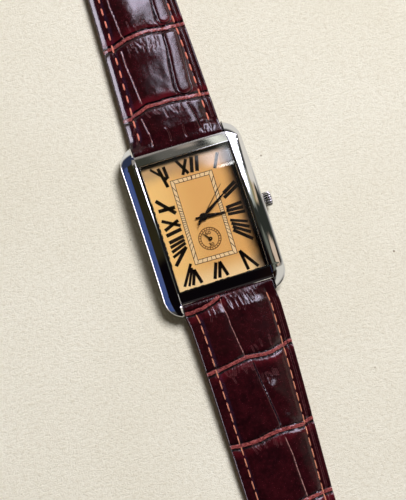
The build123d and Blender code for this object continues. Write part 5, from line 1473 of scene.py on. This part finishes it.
def studio():
    """Surroundings that only mirrored rays see. p and q are where a direction meets a ceiling one unit up, to
    the right and towards 12 o'clock, and height is how steeply it rises. Over a dim ceiling come, from left
    to right, a bright pane near the floor, a blue panel, a dark middle and, on the right, trunks, a hedge, a
    wall and a bright window."""
    world = bpy.data.worlds.new("studio")
    bpy.context.scene.world = world
    world.use_nodes = True
    tree = world.node_tree

    def times(first, *others):
        for other in others:
            first = maths(tree, "MULTIPLY", first, other)
        return first

    def ramp(value, a, b):
        """0 at a and 1 at b, eased."""
        inputs = {"Value": value, "From Min": a, "From Max": b}
        return node(tree, "ShaderNodeMapRange", inputs, interpolation_type="SMOOTHSTEP").outputs["Result"]

    def panel(low, high, soft, value):
        """1 between low and high, with eased flanks."""
        return times(ramp(value, low - soft, low + soft), ramp(value, high + soft, high - soft))

    def noise(scale, detail):
        inputs = {"Vector": place, "Scale": scale, "Detail": detail}
        return node(tree, "ShaderNodeTexNoise", inputs).outputs["Fac"]

    def paint(colour, *masks):
        """Puts a colour over the sky so far where all the masks are 1."""
        nonlocal sky
        sky = mix(tree, times(*masks), sky, colour)

    place = node(tree, "ShaderNodeTexCoord").outputs["Generated"]
    parts = node(tree, "ShaderNodeSeparateXYZ", {0: place})
    x, y, height = parts.outputs["X"], parts.outputs["Y"], parts.outputs["Z"]
    up = maths(tree, "MAXIMUM", height, 0.02)
    p = maths(tree, "DIVIDE", x, up)
    q = maths(tree, "DIVIDE", y, up)
    # slow wander of the outlines, so that no edge in the polish is ruled
    curl = noise(7.0, 3.0)
    span = {"Value": curl, "From Min": 0.3, "From Max": 0.7, "To Min": -0.06, "To Max": 0.06}
    drift = node(tree, "ShaderNodeMapRange", span).outputs["Result"]
    pw, qw = maths(tree, "ADD", p, drift), maths(tree, "ADD", q, drift)

    # the ceiling is dark above and pale near the floor
    sky = mix(tree, ramp(height, 0.44, 0.30), (0.07, 0.07, 0.07, 1), (0.80, 0.78, 0.72, 1))
    paint((11.0, 10.2, 12.2, 1), ramp(p, -2.25, -2.6), ramp(height, 0.1, 0.16), panel(-0.5, 0.5, 0.1, y))
    paint((0.06, 0.055, 0.05, 1), ramp(height, 0.16, 0.1), ramp(x, -0.2, -0.5))
    paint((0.03, 0.025, 0.025, 1), ramp(height, 0.5, 0.35), ramp(y, -0.35, -0.75))
    paint((0.026, 0.022, 0.010, 1), panel(-0.82, 0.17, 0.02, p), panel(-0.6, 0.9, 0.08, q))
    paint((0.003, 0.002, 0.003, 1), panel(-0.82, 0.5, 0.02, p), ramp(q, 0.05, -0.03))
    blue = mix(tree, ramp(curl, 0.4, 0.65), (0.075, 0.11, 0.28, 1), (0.045, 0.085, 0.26, 1))
    paint(blue, panel(-2.1, -0.83, 0.03, p), panel(-1.3, 1.3, 0.15, q))

    # right of the case: dark trunks, an olive hedge, a pale wall and the white window
    paint((0.03, 0.034, 0.028, 1), panel(0.19, 2.1, 0.02, p), panel(-0.12, 0.36, 0.03, qw))
    paint((0.012, 0.005, 0.003, 1), panel(0.19, 2.1, 0.02, p), panel(-0.9, -0.12, 0.03, q))
    paint((0.16, 0.17, 0.14, 1), panel(0.45, 0.85, 0.08, pw), panel(-0.35, 0.0, 0.05, qw))
    paint((0.74, 0.58, 0.44, 1), panel(1.02, 1.75, 0.08, pw), panel(-0.24, -0.02, 0.04, qw))
    # past is how far beyond the window's slanting far edge a direction lies
    far_edge = maths(tree, "MULTIPLY_ADD", q, 1.4, 0.36)
    past = maths(tree, "SUBTRACT", pw, far_edge)
    tall = ramp(qw, 0.16, 0.24)
    paint((0.30, 0.25, 0.09, 1), panel(-0.05, 0.36, 0.04, past), times(tall, ramp(qw, 0.52, 0.42)))
    paint((0.66, 0.52, 0.36, 1), panel(0.36, 0.62, 0.05, past), tall)
    paint((0.82, 0.78, 0.70, 1), panel(0.3, 1.1, 0.06, past), ramp(qw, 0.36, 0.46))
    paint((0.40, 0.42, 0.38, 1), ramp(p, 0.42, 0.52), ramp(past, 0.35, 0.0), panel(0.15, 0.5, 0.035, qw))
    pane = times(ramp(p, 0.2, 0.22), ramp(past, 0.04, -0.04), times(ramp(qw, 0.18, 0.29), ramp(q, 1.3, 1.0)))
    pane = times(pane, maths(tree, "MAXIMUM", ramp(p, 0.34, 0.42), ramp(q, 0.28, 0.33)))
    paint((1.1, 1.08, 1.22, 1), pane)
    glare = times(ramp(pw, 0.3, 0.42), ramp(past, -0.02, -0.14), ramp(q, 0.2, 0.27))
    bright = mix(tree, ramp(noise(14.0, 4.0), 0.35, 0.6), (14.0, 13.2, 16.5, 1), (8.0, 7.5, 9.4, 1))
    paint(bright, times(pane, glare))
    leaves, twigs = noise(38.0, 2.0), noise(24.0, 3.0)
    paint((0.24, 0.40, 0.13, 1), ramp(leaves, 0.47, 0.53), pane, panel(-0.34, 0.1, 0.06, past))
    paint((0.42, 0.46, 0.44, 1), ramp(twigs, 0.56, 0.62), pane, panel(-0.5, 0.0, 0.1, past))

    # lower right corner pale, upper left corner dark
    paint((0.74, 0.72, 0.65, 1), ramp(pw, 0.75, 0.95), ramp(q, -0.22, -0.3), ramp(height, 0.3, 0.4))
    paint((0.03, 0.04, 0.08, 1), panel(-1.5, -0.32, 0.08, p), ramp(q, 0.7, 0.85), ramp(height, 0.3, 0.4))

    # above the 12 o'clock band: a beam with thin uprights at its right end
    beam = times(panel(0.5, 0.62, 0.01, q), panel(-0.3, 0.21, 0.005, p))
    paint((0.05, 0.052, 0.04, 1), beam)
    paint((0.34, 0.31, 0.28, 1), ramp(q, 0.6, 0.63), panel(-0.3, 0.21, 0.01, p))
    paint((0.13, 0.125, 0.108, 1), beam, ramp(p, 0.138, 0.15))
    paint((0.36, 0.31, 0.26, 1), beam, ramp(p, 0.163, 0.172), ramp(q, 0.58, 0.592))
    paint((0.02, 0.021, 0.02, 1), beam, ramp(p, 0.182, 0.186), ramp(q, 0.558, 0.568))
    paint((0.95, 0.97, 0.86, 1), beam, ramp(p, 0.193, 0.199))

    # small bright panes seen in the crystal
    paint((9.5, 9.5, 10.3, 1), panel(0.188, 0.204, 0.0015, p), panel(0.443, 0.486, 0.004, q))
    paint((3.3, 3.4, 3.8, 1), panel(0.177, 0.204, 0.008, p), panel(0.41, 0.50, 0.02, q))
    paint((7.5, 7.5, 7.5, 1), panel(0.183, 0.204, 0.004, p), panel(0.389, 0.404, 0.002, q))

    # mirrored rays that have not met a matt surface see them; everything else gets a weak, even, warm light
    path = node(tree, "ShaderNodeLightPath")
    unspread = maths(tree, "LESS_THAN", path.outputs["Diffuse Depth"], 0.5)
    seen = times(path.outputs["Is Glossy Ray"], unspread)
    back = tree.nodes["Background"]
    tree.links.new(mix(tree, seen, (0.085, 0.078, 0.06, 1), sky), back.inputs["Color"])
    back.inputs["Strength"].default_value = 1.0


studio()


def photo_camera():
    """Looks down at the dial, turned and leaned as in the photograph."""
    roll, lean, sway = (math.radians(v) for v in (-17.25, -9.5, 5.4))
    right0 = Vector((math.cos(roll), math.sin(roll), 0))
    up0 = Vector((-math.sin(roll), math.cos(roll), 0))
    z = Vector((0, 0, 1))
    up = math.cos(lean) * up0 - math.sin(lean) * z
    back1 = math.sin(lean) * up0 + math.cos(lean) * z
    right = math.cos(sway) * right0 + math.sin(sway) * back1
    back = -math.sin(sway) * right0 + math.cos(sway) * back1
    target = Vector((-2.43, -7.2, 5.0)) / 1000
    sensor, distance = 36.0, 300
    picture_height, pixels_per_mm = 500, 4.407
    camera = bpy.data.cameras.new("photo_camera")
    camera.sensor_width = sensor
    camera.lens = sensor * pixels_per_mm * distance / picture_height
    camera.clip_start = 0.01
    camera.clip_end = 20.0
    thing = bpy.data.objects.new("photo_camera", camera)
    bpy.context.scene.collection.objects.link(thing)
    turn = Matrix((right, up, back)).transposed().to_4x4()
    thing.matrix_world = Matrix.Translation(target + back * (distance / 1000)) @ turn
    bpy.context.scene.camera = thing


photo_camera()
bpy.context.scene.view_settings.view_transform = "Standard"
